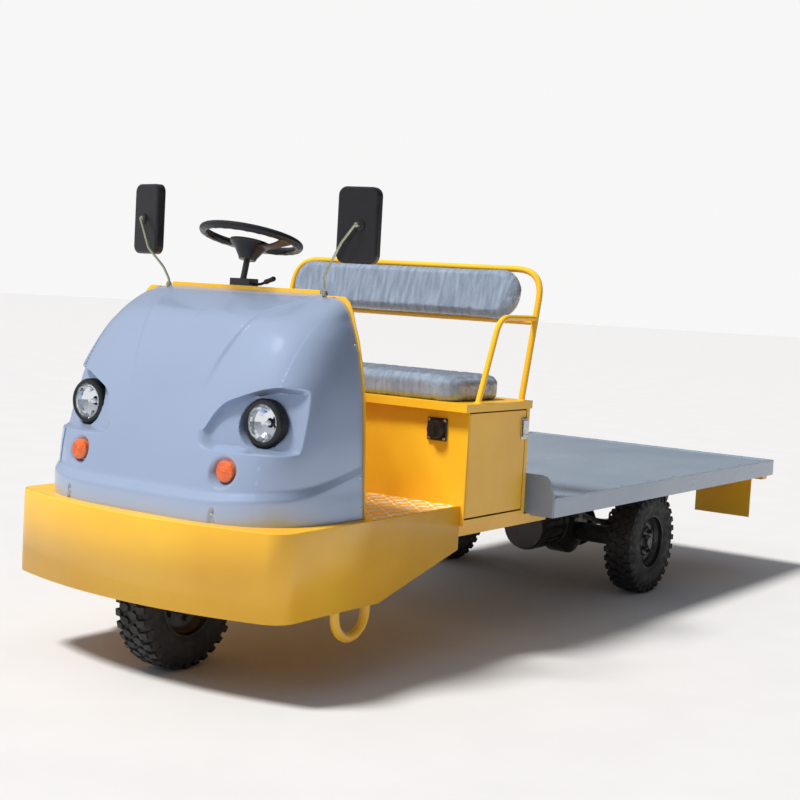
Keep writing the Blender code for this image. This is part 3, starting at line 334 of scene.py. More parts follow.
def moulded(turn, level, ridge, brow):
    """The cowl's outer skin at one place, with its skirt, socket, wells, bonnet and notches."""
    x, y = plan_point(turn, level)
    wide = abs(x)
    out = Vector((0.75 * x / 0.55, -1 if wide < 0.45 else -0.4,
                  0)).normalized() if wide > 0.1 else Vector((0, -1, 0))
    step = SKIRT_STEP * min(max((ridge + 0.016 - level) / 0.030, 0.0), 1.0)
    fade = 1 - 0.75 * ease(y, 0.15, 0.5)
    x += out.x * (step - SKIRT_STEP * 0.9) * fade * 0.55
    y += out.y * (step - SKIRT_STEP * 0.9) * fade
    if level < 1.02 and y < 0.45:
        plate = 0.197 + 0.34 * (wide - 0.326) + 0.30 * (level - 0.830)
        tip = 0.194 + 0.045 * (1 - math.sqrt(1 - min(max((0.832 - level) / 0.046, 0.0), 0.99) ** 2))
        under = 0.008 + 0.014 * ease(wide, 0.30, 0.50)
        mask = (ease(level, SOCKET_SILL - 0.002,
                     SOCKET_SILL + 0.011) * (1 - ease(level, brow - under, brow - 0.001))
                * ease(wide, tip, tip + 0.045) * (1 - ease(y, 0.29, 0.36)))
        sunk = max(plate, y + (0.012 + 0.030 * ease(level, 0.89, 0.96)) * (1 - ease(wide, 0.40, 0.50)))
        y += max(0.0, sunk - y) * mask
        reach = math.hypot(wide - LAMP.x, level - LAMP.z)
        if mask > 0.3:
            y = max(y, y + (LAMP.y + 0.034 - y) * (1 - ease(reach, 0.0785, 0.0835)))
        reach = math.hypot(wide - SIGNAL.x, level - SIGNAL.z)
        y += max(0.0, SIGNAL.y + 0.017 - y) * (1 - ease(reach, 0.036, 0.054))
        if level < 0.62:
            y += 0.007 * (1 - ease(abs(wide - 0.321), 0.0065, 0.0085)) * (1 - ease(level, 0.601, 0.607))
    z = level
    raised = 0.007 * ease(level, 0.93,
                          1.10) * (1 - ease(wide, along(CREASE, level) - 0.001, along(CREASE, level) + 0.020))
    slope_up = ease(level, 1.18, 1.24)
    y -= raised * (1 - 0.75 * slope_up) * (1 - ease(y, 0.50, 0.55))
    z += raised * (0.35 + 0.65 * slope_up) * 0.9
    return Vector((x, min(y, COWL_REAR), z))


turns = even_turns(168)
columns = []
for turn in turns:
    x, y = plan_point(turn, 0.70)
    heights, ridge, brow = row_heights(x, y)
    columns.append([moulded(turn, level, ridge, brow) for level in heights])
cowl = bmesh.new()
rows = len(columns[0])
bmesh.ops.create_grid(cowl, x_segments=len(columns) - 1, y_segments=rows - 1, size=0.5)
cowl.verts.ensure_lookup_table()
for vert in cowl.verts:
    i = round((vert.co.x + 0.5) * (len(columns) - 1))
    j = round((vert.co.y + 0.5) * (rows - 1))
    vert.co = columns[i][j]
bmesh.ops.recalc_face_normals(cowl, faces=cowl.faces)
if sum(f.normal.y for f in cowl.faces) > 0:
    bmesh.ops.reverse_faces(cowl, faces=cowl.faces)
rim = [e for e in cowl.edges if e.is_boundary]
lip = bmesh.ops.extrude_edge_only(cowl, edges=rim)["geom"]
middle = Vector((0, 0.36, 0.9))
for vert in (v for v in lip if isinstance(v, bmesh.types.BMVert)):
    inward = middle - vert.co
    inward.y = 0
    vert.co += inward.normalized() * 0.006
shown("cowl_shell", cowl, pearl, "chassis", 50, "cowl")

# ---- Headlamps and indicators ------------------------------------------------------------------------
# Round sealed lamps: a faceted chrome bowl, a bulb shade and a fluted clear glass in a ribbed black
# rubber rim. The indicators are moulded orange lenses with rings and a raised centre.
rubber = surface("lamp_rubber", (0.012, 0.012, 0.014), 0.45)
emboss(rubber, grain(rubber, 420.0), 0.2, 0.0005)
chrome = surface("lamp_bowl", (0.86, 0.88, 0.90), 0.10, Metallic=1.0)
tint(chrome, grain(chrome, 60.0), (0.06, 0.16), socket="Roughness")
glass = surface("lamp_glass_clear", (0.97, 0.985, 1.0), 0.02, Transmission_Weight=1.0, IOR=1.25)
emboss(glass, grain(glass, 90.0, 1.0, (1, 1, 0.05)), 0.25, 0.002)
orange = surface("indicator_orange", (0.86, 0.15, 0.012), 0.14, Coat_Weight=1.0, Coat_Roughness=0.05)
tint(orange, grain(orange, 150.0, kind="VORONOI"), ((0.92, 0.20, 0.02), (0.74, 0.11, 0.008)), (0.1, 0.6))
emboss(orange, grain(orange, 210.0, kind="VORONOI"), 0.5, 0.002)


def lathe(profile, centre, axis, steps=64, whole=True):
    """Spins a profile of (place along the axis, radius) about an axis; ends on the axis close themselves."""
    shape = bmesh.new()
    verts = [shape.verts.new((r, 0, a)) for a, r in profile]
    edges = [shape.edges.new(pair) for pair in zip(verts, verts[1:])]
    bmesh.ops.spin(shape, geom=verts + edges, cent=(0, 0, 0), axis=(0, 0, 1), angle=math.tau, steps=steps,
                   use_merge=True)
    bmesh.ops.remove_doubles(shape, verts=shape.verts, dist=1e-6)
    bmesh.ops.dissolve_degenerate(shape, edges=shape.edges, dist=1e-7)
    bmesh.ops.recalc_face_normals(shape, faces=shape.faces)
    turn = Vector((0, 0, 1)).rotation_difference(Vector(axis)).to_matrix().to_4x4()
    bmesh.ops.transform(shape, matrix=Matrix.Translation(centre) @ turn, verts=shape.verts)
    return shape


def merge(shape, *others):
    """Adds other bmeshes to the first one."""
    for other in others:
        spare = bpy.data.meshes.new("spare")
        other.to_mesh(spare)
        other.free()
        shape.from_mesh(spare)
        bpy.data.meshes.remove(spare)
    return shape


def block(low, high, edge=0.0, segments=3, turn=None, centre=None):
    """A box between two corners with its edges rounded, turned about its own middle if asked."""
    low, high = Vector(low), Vector(high)
    shape = bmesh.new()
    bmesh.ops.create_cube(shape, size=1.0)
    bmesh.ops.scale(shape, vec=high - low, verts=shape.verts)
    if edge:
        bmesh.ops.bevel(shape, geom=shape.edges[:], offset=edge, segments=segments, affect="EDGES",
                        profile=0.5,
                        material=-1)
    if turn is not None:
        bmesh.ops.transform(shape, matrix=turn.to_4x4(), verts=shape.verts)
    bmesh.ops.translate(shape, vec=(low + high) / 2, verts=shape.verts)
    return shape


def hex_head(centre, axis, across, height, washer=True):
    """A hexagon bolt head with a chamfered crown, on its washer."""
    half = across / 2
    head = bmesh.new()
    bmesh.ops.create_cone(head, cap_ends=True, segments=6, radius1=half, radius2=half, depth=height)
    bmesh.ops.translate(head, vec=(0, 0, height / 2), verts=head.verts)
    top_edges = [e for e in head.edges if all(v.co.z > height * 0.9 for v in e.verts)]
    bmesh.ops.bevel(head, geom=top_edges, offset=half * 0.15, segments=2, affect="EDGES", profile=0.5,
                    material=-1)
    turn = Vector((0, 0, 1)).rotation_difference(Vector(axis)).to_matrix().to_4x4()
    bmesh.ops.transform(head, matrix=Matrix.Translation(centre) @ turn, verts=head.verts)
    if washer:
        merge(head, lathe([(0, 0), (0, half * 1.35), (height * 0.2, half * 1.3), (height * 0.22, 0)], centre,
                          axis, 20))
    return head


for side_name, side in (("left", 1), ("right", -1)):
    lamp = Vector((side * LAMP.x, LAMP.y, LAMP.z))
    ahead = Vector((0, -1, 0))
    rim = lathe([(0.008, 0.062), (0.010, 0.068), (0.007, 0.073), (0.0, 0.0755), (-0.034, 0.0765),
                 (-0.034, 0.062),
                 (0.0, 0.061), (0.008, 0.062)], lamp, ahead, 96)
    for i in range(60):
        a = math.tau * i / 60
        spot = lamp + Vector((math.cos(a) * 0.0762, 0.014, math.sin(a) * 0.0762))
        rib = block(spot - Vector((0.0022, 0.013, 0.0016)), spot + Vector((0.0022, 0.013, 0.0016)), 0,
                    turn=Matrix.Rotation(-a, 3, "Y"))
        merge(rim, rib)
    shown(f"headlamp_rim_{side_name}", rim, rubber, "chassis", 35)
    bowl = lathe([(0.004, 0.0625), (-0.004, 0.0600), (-0.018, 0.052), (-0.030, 0.036), (-0.034, 0.016),
                  (-0.034, 0.009), (-0.020, 0.0085), (-0.014, 0.006), (-0.012, 0.0)], lamp, ahead, 24)
    shown(f"headlamp_bowl_{side_name}", bowl, chrome, "chassis", 8, f"headlamp_{side_name}")
    lens = lathe([(0.006, 0.0630), (0.0115, 0.050), (0.0150, 0.030), (0.0160, 0.012), (0.0160, 0.0)], lamp,
                 ahead, 72)
    lens_piece = shown(f"headlamp_glass_{side_name}", lens, glass, "chassis", 60)
    thick = lens_piece.modifiers.new("glass", "SOLIDIFY")
    thick.thickness = 0.002
    thick.offset = -1
    spot = Vector((side * SIGNAL.x, SIGNAL.y, SIGNAL.z))
    lens = [(-0.022, 0.0), (-0.022, 0.0345), (-0.001, 0.0345), (0.0, 0.0335)]
    lens += [(0.0008 + 0.0011 * (i % 2) + 0.004 * (1 - (r / 0.033) ** 2), r) for i, r in
             enumerate(0.033 - 0.0022 * k for k in range(14))]
    lens += [(0.0075, 0.0016), (0.0075, 0.0)]
    shown(f"indicator_lens_{side_name}", lathe(lens, spot, ahead, 60), orange, "chassis", 40,
          f"indicator_{side_name}")

bright_steel = surface("bright_steel", (0.62, 0.62, 0.61), 0.28, Metallic=1.0)
tint(bright_steel, grain(bright_steel, 90.0), (0.22, 0.42), socket="Roughness")
fixings = bmesh.new()
for side in (1, -1):
    merge(fixings, hex_head((side * 0.321, 0.083, 0.590), (0, -1, 0), 0.011, 0.005))
    for level in (0.597, 0.700, 1.140):
        half = plan_point(side * 0.985, level)
        merge(fixings, lathe([(0.003, 0), (0.0026, 0.003), (0.0, 0.0055), (-0.001, 0.0055)],
                             (half[0], 0.537, level), (side, 0, 0.12), 16))
shown("cowl_fixings", fixings, bright_steel, "chassis", 35)

# ---- Pressed and welded sheet-metal pieces -----------------------------------------------------------
# Folded plates and bars keep the frame's shape; their bends and sawn edges are rounded a little, as a
# folding press and a grinder leave them.
black = surface("black_enamel", (0.016, 0.016, 0.018), 0.42, Coat_Weight=0.25, Coat_Roughness=0.25)
tint(black, grain(black, 7.0, 6.0), ((0.011, 0.011, 0.012), (0.030, 0.028, 0.026)))
tint(black, grain(black, 26.0, 5.0), (0.34, 0.58), socket="Roughness")
emboss(black, grain(black, 130.0), 0.12, 0.001)
bed_grey = surface("bed_enamel", (0.31, 0.38, 0.48), 0.22, Coat_Weight=0.6, Coat_Roughness=0.08)
tint(bed_grey, grain(bed_grey, 1.6, 6.0), ((0.29, 0.36, 0.46), (0.335, 0.405, 0.505)))
tint(bed_grey, grain(bed_grey, 5.0, 8.0, (1, 0.35, 1)), (0.22, 0.29), socket="Roughness")
battery_case = surface("battery_case", (0.045, 0.045, 0.05), 0.6)
tint(battery_case, grain(battery_case, 20.0), ((0.035, 0.035, 0.04), (0.06, 0.06, 0.065)))


def edged(node, width=0.002, segments=3, angle=28):
    """A copy of a CAD node with its flat faces whole again and its sharp edges rounded."""
    shape = bmesh.new()
    shape.from_mesh(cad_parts[node].data)
    bmesh.ops.remove_doubles(shape, verts=shape.verts, dist=2e-5)
    bmesh.ops.dissolve_limit(shape, angle_limit=math.radians(1.0), verts=shape.verts, edges=shape.edges)
    sharp = [e for e in shape.edges if e.is_manifold and e.calc_face_angle(0) > math.radians(angle)]
    bmesh.ops.bevel(shape, geom=sharp, offset=width, segments=segments, affect="EDGES", profile=0.5,
                    material=-1,
                    clamp_overlap=True)
    return shape


DRESSED = (
    ("floor_plate", 0.001, yellow, "chassis"), ("dash_panel", 0.0015, yellow, "chassis"),
    ("battery_box", 0.0015, yellow, "chassis"), ("battery_door_left", 0.001, yellow, "battery_door_left"),
    ("battery_door_right", 0.001, yellow, "battery_door_right"), ("seat_lid", 0.0018, yellow, "seat"),
    ("bed_deck", 0.0018, bed_grey, "chassis"), ("bed_front_board", 0.003, bed_grey, "chassis"),
    ("frame_rail_left", 0.002, yellow, "chassis"), ("frame_rail_right", 0.002, yellow, "chassis"),
    ("steering_head", 0.002, yellow, "chassis"), ("floor_member", 0.002, yellow, "chassis"),
    ("box_sill", 0.002, yellow, "chassis"), ("bed_member_front", 0.002, yellow, "chassis"),
    ("bed_member_rear", 0.002, yellow, "chassis"), ("bed_end_member", 0.002, yellow, "chassis"),
    ("steering_fork", 0.002, yellow, "steering_fork"),
           ("front_axle_pin", 0.001, bright_steel, "steering_fork"),
    ("rear_axle", 0.002, black, "chassis"), ("drive_motor", 0.003, black, "chassis"),
    ("leaf_spring_left", 0.0012, black, "chassis"), ("leaf_spring_right", 0.0012, black, "chassis"),
    ("steering_column", 0.0025, black, "chassis"), ("brake_pedal", 0.001, black, "chassis"),
    ("accelerator_pedal", 0.001, black, "chassis"), ("battery_pack", 0.004, battery_case, "chassis"))
for node, width, finish, body in DRESSED:
    shown(f"{node}_shaped", edged(node, width, 2 if finish is black else 3), finish, body, 40, node,
          station=False)

# ---- Tread plate and dash ----------------------------------------------------------------------------
# The floor carries rows of raised lozenges whose near-white colour is painted highlight on their tops. The
# driver's side of the dash carries a plain battery gauge and a key switch.
# The lozenges' near-white colour is painted highlight, mixed at random with pale orange patches.
tread_highlight = surface("tread_painted_highlight", (0.86, 0.84, 0.80), 0.36, Metallic=0.15)
tint(tread_highlight, grain(tread_highlight, 30.0, 4.0), ((0.88, 0.86, 0.82), (0.90, 0.62, 0.26)), (0.58, 0.74))
tint(tread_highlight, grain(tread_highlight, 60.0), (0.25, 0.48), socket="Roughness")
plastic = surface("black_plastic", (0.010, 0.010, 0.012), 0.30)
tint(plastic, grain(plastic, 40.0, 5.0), (0.28, 0.42), socket="Roughness")
emboss(plastic, grain(plastic, 520.0), 0.18, 0.0005)
gauge_glass = surface("gauge_glass", (0.02, 0.05, 0.03), 0.08, Coat_Weight=1.0)
tint(gauge_glass, grain(gauge_glass, 12.0), ((0.02, 0.05, 0.03), (0.03, 0.07, 0.05)))
tread = bmesh.new()
lozenge = bmesh.new()
bmesh.ops.create_uvsphere(lozenge, u_segments=10, v_segments=6, radius=1.0)
bmesh.ops.scale(lozenge, vec=(0.0230, 0.0080, 0.0026), verts=lozenge.verts)
spare = bpy.data.meshes.new("lozenge")
lozenge.to_mesh(spare)
lozenge.free()
PITCH = 0.0485
for row in range(11):
    for column in range(-12, 13):
        first = len(tread.verts)
        tread.from_mesh(spare)
        tread.verts.ensure_lookup_table()
        turn = Matrix.Rotation(math.radians(45 if (row + column) % 2 else -45), 4, "Z")
        place = Matrix.Translation((column * PITCH, 0.600 + row * 0.0465, 0.5600))
        bmesh.ops.transform(tread, matrix=place @ turn, verts=tread.verts[first:])
bpy.data.meshes.remove(spare)
shown("tread_pattern", tread, tread_highlight, "chassis", 60)

gauge = block((0.095, 0.5595, 1.222), (0.175, 0.574, 1.270), 0.004)
merge(gauge, lathe([(0.0, 0), (0.0, 0.017), (0.007, 0.016), (0.008, 0.012), (0.006, 0.011), (0.006, 0)],
                   (0.235, 0.5592, 1.246), (0, 1, 0), 48))
merge(gauge, block((0.2325, 0.5655, 1.236), (0.2375, 0.578, 1.256), 0.0012))
shown("gauge_case", gauge, plastic, "chassis", 35)
shown("gauge_window", block((0.103, 0.5735, 1.231), (0.167, 0.5752, 1.261), 0.0006), gauge_glass, "chassis",
      35)

# ---- Wheels ------------------------------------------------------------------------------------------
# Three equal traction tyres: rows of six-sided blocks with shoulder lugs on a rounded carcass, on black
# pressed rims with a hub cap and a ring of nuts.
tyre = surface("tyre_rubber", (0.013, 0.013, 0.014), 0.62)
tint(tyre, grain(tyre, 9.0, 6.0), ((0.010, 0.010, 0.011), (0.024, 0.023, 0.022)))
tint(tyre, grain(tyre, 34.0, 5.0), (0.50, 0.78), socket="Roughness")
emboss(tyre, grain(tyre, 260.0), 0.25, 0.0008)
RADIUS = 0.235


def carcass(centre):
    """One traction tyre round a wheel centre."""
    wall = [(-0.055, 0.118), (-0.0605, 0.126), (-0.0625, 0.136), (-0.0640, 0.138), (-0.0640, 0.142),
            (-0.0655, 0.150),
            (-0.0665, 0.170), (-0.0660, 0.190), (-0.0640, 0.204), (-0.0600, 0.215), (-0.0500, 0.2225),
            (-0.0250, 0.2262)]
    shape = lathe(wall + [(-a, r) for a, r in reversed(wall)] + [wall[0]], centre, (1, 0, 0), 120)
    count = 32
    for i in range(count):
        for across_at, phase, wide, tall in ((-0.019, 0.0, 0.0185, 0.85), (0.019, 0.5, 0.0185, 0.85)):
            hexagon = bmesh.new()
            bmesh.ops.create_cone(hexagon, cap_ends=True, segments=6, radius1=wide + 0.002, radius2=wide,
                                  depth=0.016)
            bmesh.ops.scale(hexagon, vec=(1.0, tall, 1.0), verts=hexagon.verts)
            place = Matrix.Rotation(math.tau * (i + phase) / count, 4, "X") @ Matrix.Translation(
                (across_at, 0, RADIUS - 0.0082))
            bmesh.ops.transform(hexagon, matrix=Matrix.Translation(centre) @ place, verts=hexagon.verts)
            merge(shape, hexagon)
        for side in (-1, 1):
            lug = block((-0.0145, -0.0120, -0.0075), (0.0145, 0.0120, 0.0075), 0.0015, 2)
            phase = 0.5 if side < 0 else 0.0
            place = Matrix.Rotation(math.tau * (i + phase) / count, 4, "X") @ Matrix.Translation(
                (side * 0.0490, 0, RADIUS - 0.0105)) @ Matrix.Rotation(side * math.radians(13), 4, "Y")
            bmesh.ops.transform(lug, matrix=Matrix.Translation(centre) @ place, verts=lug.verts)
            merge(shape, lug)
            side_lug = block((-0.0030, -0.0095, -0.0150), (0.0030, 0.0095, 0.0150), 0.0012, 2)
            place = Matrix.Rotation(math.tau * (i + phase) / count, 4, "X") @ Matrix.Translation(
                (side * 0.0630, 0, RADIUS - 0.0300)) @ Matrix.Rotation(side * math.radians(-12), 4, "Y")
            bmesh.ops.transform(side_lug, matrix=Matrix.Translation(centre) @ place, verts=side_lug.verts)
            merge(shape, side_lug)
    return shape


def rim(centre, outward):
    """A pressed rim with flanges, a dished disc, a ring of nuts and a hub cap."""
    ring = [(-0.0585, 0.1235), (-0.0605, 0.1215), (-0.0590, 0.1165), (-0.0530, 0.1150), (-0.0400, 0.1140),
            (-0.0250, 0.1010), (0.0250, 0.1010), (0.0400, 0.1140), (0.0530, 0.1150), (0.0590, 0.1165),
            (0.0605, 0.1215), (0.0585, 0.1235), (0.0560, 0.1175), (0.0400, 0.1175), (-0.0400, 0.1175),
            (-0.0560, 0.1175), (-0.0585, 0.1235)]
    shape = lathe(ring, centre, (1, 0, 0), 96)
    disc = [(0.012, 0.0), (0.012, 0.102), (0.020, 0.102), (0.026, 0.095), (0.030, 0.082), (0.028, 0.070),
            (0.034, 0.062), (0.038, 0.060), (0.038, 0.032), (0.040, 0.029), (0.050, 0.027), (0.054, 0.022),
            (0.054, 0.0)]
    merge(shape, lathe(disc, centre, (outward, 0, 0), 72))
    for i in range(5):
        a = math.tau * i / 5
        spot = Vector(centre) + Vector((outward * 0.037, math.cos(a) * 0.046, math.sin(a) * 0.046))
        merge(shape, hex_head(spot, (outward, 0, 0), 0.021, 0.014))
        merge(shape, lathe([(0.0, 0.0), (0.0, 0.006), (0.020, 0.006), (0.022, 0.004), (0.022, 0.0)], spot,
                           (outward, 0, 0), 16))
    return shape


def hand_holes(centre, outward):
    """The disc's hand holes, drawn as low rings in darker black plastic as painted shade for the open holes."""
    shape = bmesh.new()
    for i in range(5):
        a = math.tau * (i + 0.5) / 5
        spot = Vector(centre) + Vector((outward * 0.0270, math.cos(a) * 0.084, math.sin(a) * 0.084))
        merge(shape, lathe([(0.0, 0), (0.0, 0.012), (0.0055, 0.0115), (0.0060, 0.0095), (0.001, 0.0085),
                            (0.001, 0)],
                           spot, (outward, 0, 0), 28))
    return shape


for place, x, y, body, outward in (("front", 0, 0.289, "front_wheel", 1),
                                   ("rear", 0.517, 2.800, "rear_wheel_left", 1),
                                   ("rear", -0.517, 2.800, "rear_wheel_right", -1)):
    tail_name = "" if place == "front" else ("_left" if outward > 0 else "_right")
    centre = Vector((x, y, RADIUS))
    shown(f"{place}_tyre_tread{tail_name}", carcass(centre), tyre, body, 35, f"{place}_tyre{tail_name}")
    if place == "front":
        disc = lathe([(-0.0605, 0.1215), (-0.0590, 0.1165), (-0.0530, 0.1150), (-0.040, 0.1140),
                      (-0.026, 0.101),
                      (-0.020, 0.090), (-0.020, 0.050), (-0.060, 0.040), (-0.062, 0.036), (-0.062, 0.0158),
                      (0.062, 0.0158), (0.062, 0.036), (0.060, 0.040), (0.020, 0.050), (0.020, 0.090),
                      (0.026, 0.101), (0.040, 0.1140), (0.0530, 0.1150), (0.0590, 0.1165), (0.0605, 0.1215),
                      (0.0585, 0.1235), (0.0560, 0.1175), (-0.0560, 0.1175), (-0.0585, 0.1235),
                      (-0.0605, 0.1215)],
                     centre, (1, 0, 0), 96)
        for i in range(10):
            a = math.tau * (i // 2) / 5
            way = 1 if i % 2 else -1
            spot = centre + Vector((way * 0.020, math.cos(a) * 0.070, math.sin(a) * 0.070))
            merge(disc, hex_head(spot, (way, 0, 0), 0.021, 0.013))
        shown("front_rim_pressed", disc, black, body, 35, "front_rim")
    else:
        shown(f"rear_rim_pressed{tail_name}", rim(centre, outward), black, body, 35, f"rear_rim{tail_name}")
        # The rings' darker black is painted shade standing in for the open hand holes.
        shown(f"rear_rim_hole_shade{tail_name}", hand_holes(centre, outward), plastic, body, 35)

# ---- Steering wheel, selector and mirrors ------------------------------------------------------------
# A three-spoke moulded wheel with a dished pad, finger bumps and a thin bright ring; a selector stalk; two
# rounded square mirrors on bent zinc rods.
zinc = surface("zinc_rod", (0.50, 0.52, 0.36), 0.34, Metallic=0.9)
tint(zinc, grain(zinc, 18.0, 5.0), ((0.42, 0.46, 0.30), (0.60, 0.58, 0.40)))
tint(zinc, grain(zinc, 70.0), (0.26, 0.48), socket="Roughness")
looking = surface("mirror_face", (0.90, 0.92, 0.93), 0.03, Metallic=1.0)
tint(looking, grain(looking, 6.0), (0.02, 0.05), socket="Roughness")


def tube(path, radius, steps=20, bend=0.0, closed=False):
    """A round bar along a path whose corners are bent to a radius, with rounded ends."""
    path = [Vector(p) for p in path]
    if bend:
        soft = [path[0]]
        for before, corner, after in zip(path, path[1:], path[2:]):
            a, b = (before - corner).normalized(), (after - corner).normalized()
            half = a.angle(b) / 2
            reach = min(bend / math.tan(half), (before - corner).length * 0.49,
                        (after - corner).length * 0.49)
            start, end = corner + a * reach, corner + b * reach
            for k in range(9):
                t = k / 8
                soft.append(start * (1 - t) ** 2 + corner * 2 * t * (1 - t) + end * t * t)
        path = soft + [path[-1]]
    curve = bpy.data.curves.new("bar", "CURVE")
    curve.dimensions = "3D"
    curve.bevel_depth = radius
    curve.bevel_resolution = steps // 4
    curve.use_fill_caps = True
    line = curve.splines.new("POLY")
    line.points.add(len(path) - 1)
    for point, spot in zip(line.points, path):
        point.co = (*spot, 1)
    line.use_cyclic_u = closed
    spare = bpy.data.objects.new("bar", curve)
    bpy.context.scene.collection.objects.link(spare)
    mesh = bpy.data.meshes.new_from_object(spare.evaluated_get(bpy.context.evaluated_depsgraph_get()))
    shape = bmesh.new()
    shape.from_mesh(mesh)
    bmesh.ops.remove_doubles(shape, verts=shape.verts, dist=1e-6)
    bmesh.ops.recalc_face_normals(shape, faces=shape.faces)
    bpy.data.objects.remove(spare)
    bpy.data.curves.remove(curve)
    bpy.data.meshes.remove(mesh)
    return shape


HUB = Vector((-0.026, 0.614, 1.478))
AXIS = Vector((0, math.sin(math.radians(13)), math.cos(math.radians(13))))
TILT = Vector((0, 0, 1)).rotation_difference(AXIS).to_matrix().to_4x4()
ring = []
for i in range(168):
    a = math.tau * i / 168
    ring.append((math.cos(a) * 0.172, math.sin(a) * 0.172, 0.0))
wheel = tube(ring, 0.0143, 24, closed=True)
for v in wheel.verts:
    flat = Vector((v.co.x, v.co.y, 0))
    angle = math.atan2(v.co.y, v.co.x)
    under = max(0.0, -v.co.z) / 0.0143
    inner = max(0.0, 0.172 - flat.length) / 0.0143
    v.co -= flat.normalized() * 0.0016 * inner * max(0.0, math.cos(angle * 26))
    v.co.z -= 0.0010 * under * max(0.0, math.cos(angle * 26))
pad = [(-0.080, 0.0), (-0.080, 0.030), (-0.070, 0.034), (-0.045, 0.050), (-0.026, 0.070), (-0.019, 0.0740),
       (-0.014, 0.0725), (-0.0145, 0.060), (-0.017, 0.050), (-0.0195, 0.030), (-0.0195, 0.0)]
merge(wheel, lathe(pad, (0, 0, 0), (0, 0, 1), 72))
for way in (0.0, 90.0, 180.0):
    spoke = bmesh.new()
    bmesh.ops.create_grid(spoke, x_segments=14, y_segments=1, size=1)
    for v in spoke.verts:
        t = (v.co.x + 1) / 2
        reach = 0.050 + t * 0.118
        wide = 0.030 - 0.012 * math.sin(t * math.pi) + 0.004 * t
        v.co = Vector((reach, v.co.y * wide, -0.024 + 0.026 * t * t - 0.003 * abs(v.co.y)))
    made = bmesh.ops.extrude_face_region(spoke, geom=spoke.faces[:])
    bmesh.ops.translate(spoke, vec=(0, 0, -0.008),
                        verts=[e for e in made["geom"] if isinstance(e, bmesh.types.BMVert)])
    bmesh.ops.recalc_face_normals(spoke, faces=spoke.faces)
    rims = [e for e in spoke.edges if e.is_manifold and e.calc_face_angle(0) > 1.0]
    bmesh.ops.bevel(spoke, geom=rims, offset=0.0028, segments=3, affect="EDGES", profile=0.5, material=-1)
    bmesh.ops.rotate(spoke, matrix=Matrix.Rotation(math.radians(way), 3, "Z"), verts=spoke.verts)
    merge(wheel, spoke)
bmesh.ops.transform(wheel, matrix=Matrix.Translation(HUB) @ TILT, verts=wheel.verts)
shown("steering_wheel_moulding", wheel, plastic, "steering_wheel", 50, "steering_wheel")
trim = lathe([(-0.0150, 0.0520), (-0.0140, 0.0530), (-0.0150, 0.0540), (-0.0162, 0.0530), (-0.0150, 0.0520)],
             (0, 0, 0),
             (0, 0, 1), 96)
bmesh.ops.transform(trim, matrix=Matrix.Translation(HUB) @ TILT, verts=trim.verts)
shown("steering_wheel_trim", trim, bright_steel, "steering_wheel", 60)

stalk = tube([(0.0193, 0.5893, 1.316), (0.049, 0.5893, 1.318), (0.094, 0.5793, 1.332),
              (0.100, 0.578, 1.3335)], 0.005, 20,
             0.03)
way = (Vector((0.124, 0.5726, 1.341)) - Vector((0.074, 0.5838, 1.326))).normalized()
grip = [(-0.002, 0.0), (-0.002, 0.007), (0.002, 0.009), (0.012, 0.0088), (0.022, 0.0078), (0.036, 0.0085),
        (0.046, 0.0092), (0.050, 0.0078), (0.0515, 0.004), (0.0515, 0.0)]
merge(stalk, lathe(grip, (0.074, 0.5838, 1.326), way, 32))
shown("selector_stalk", stalk, plastic, "chassis", 60, "direction_lever")

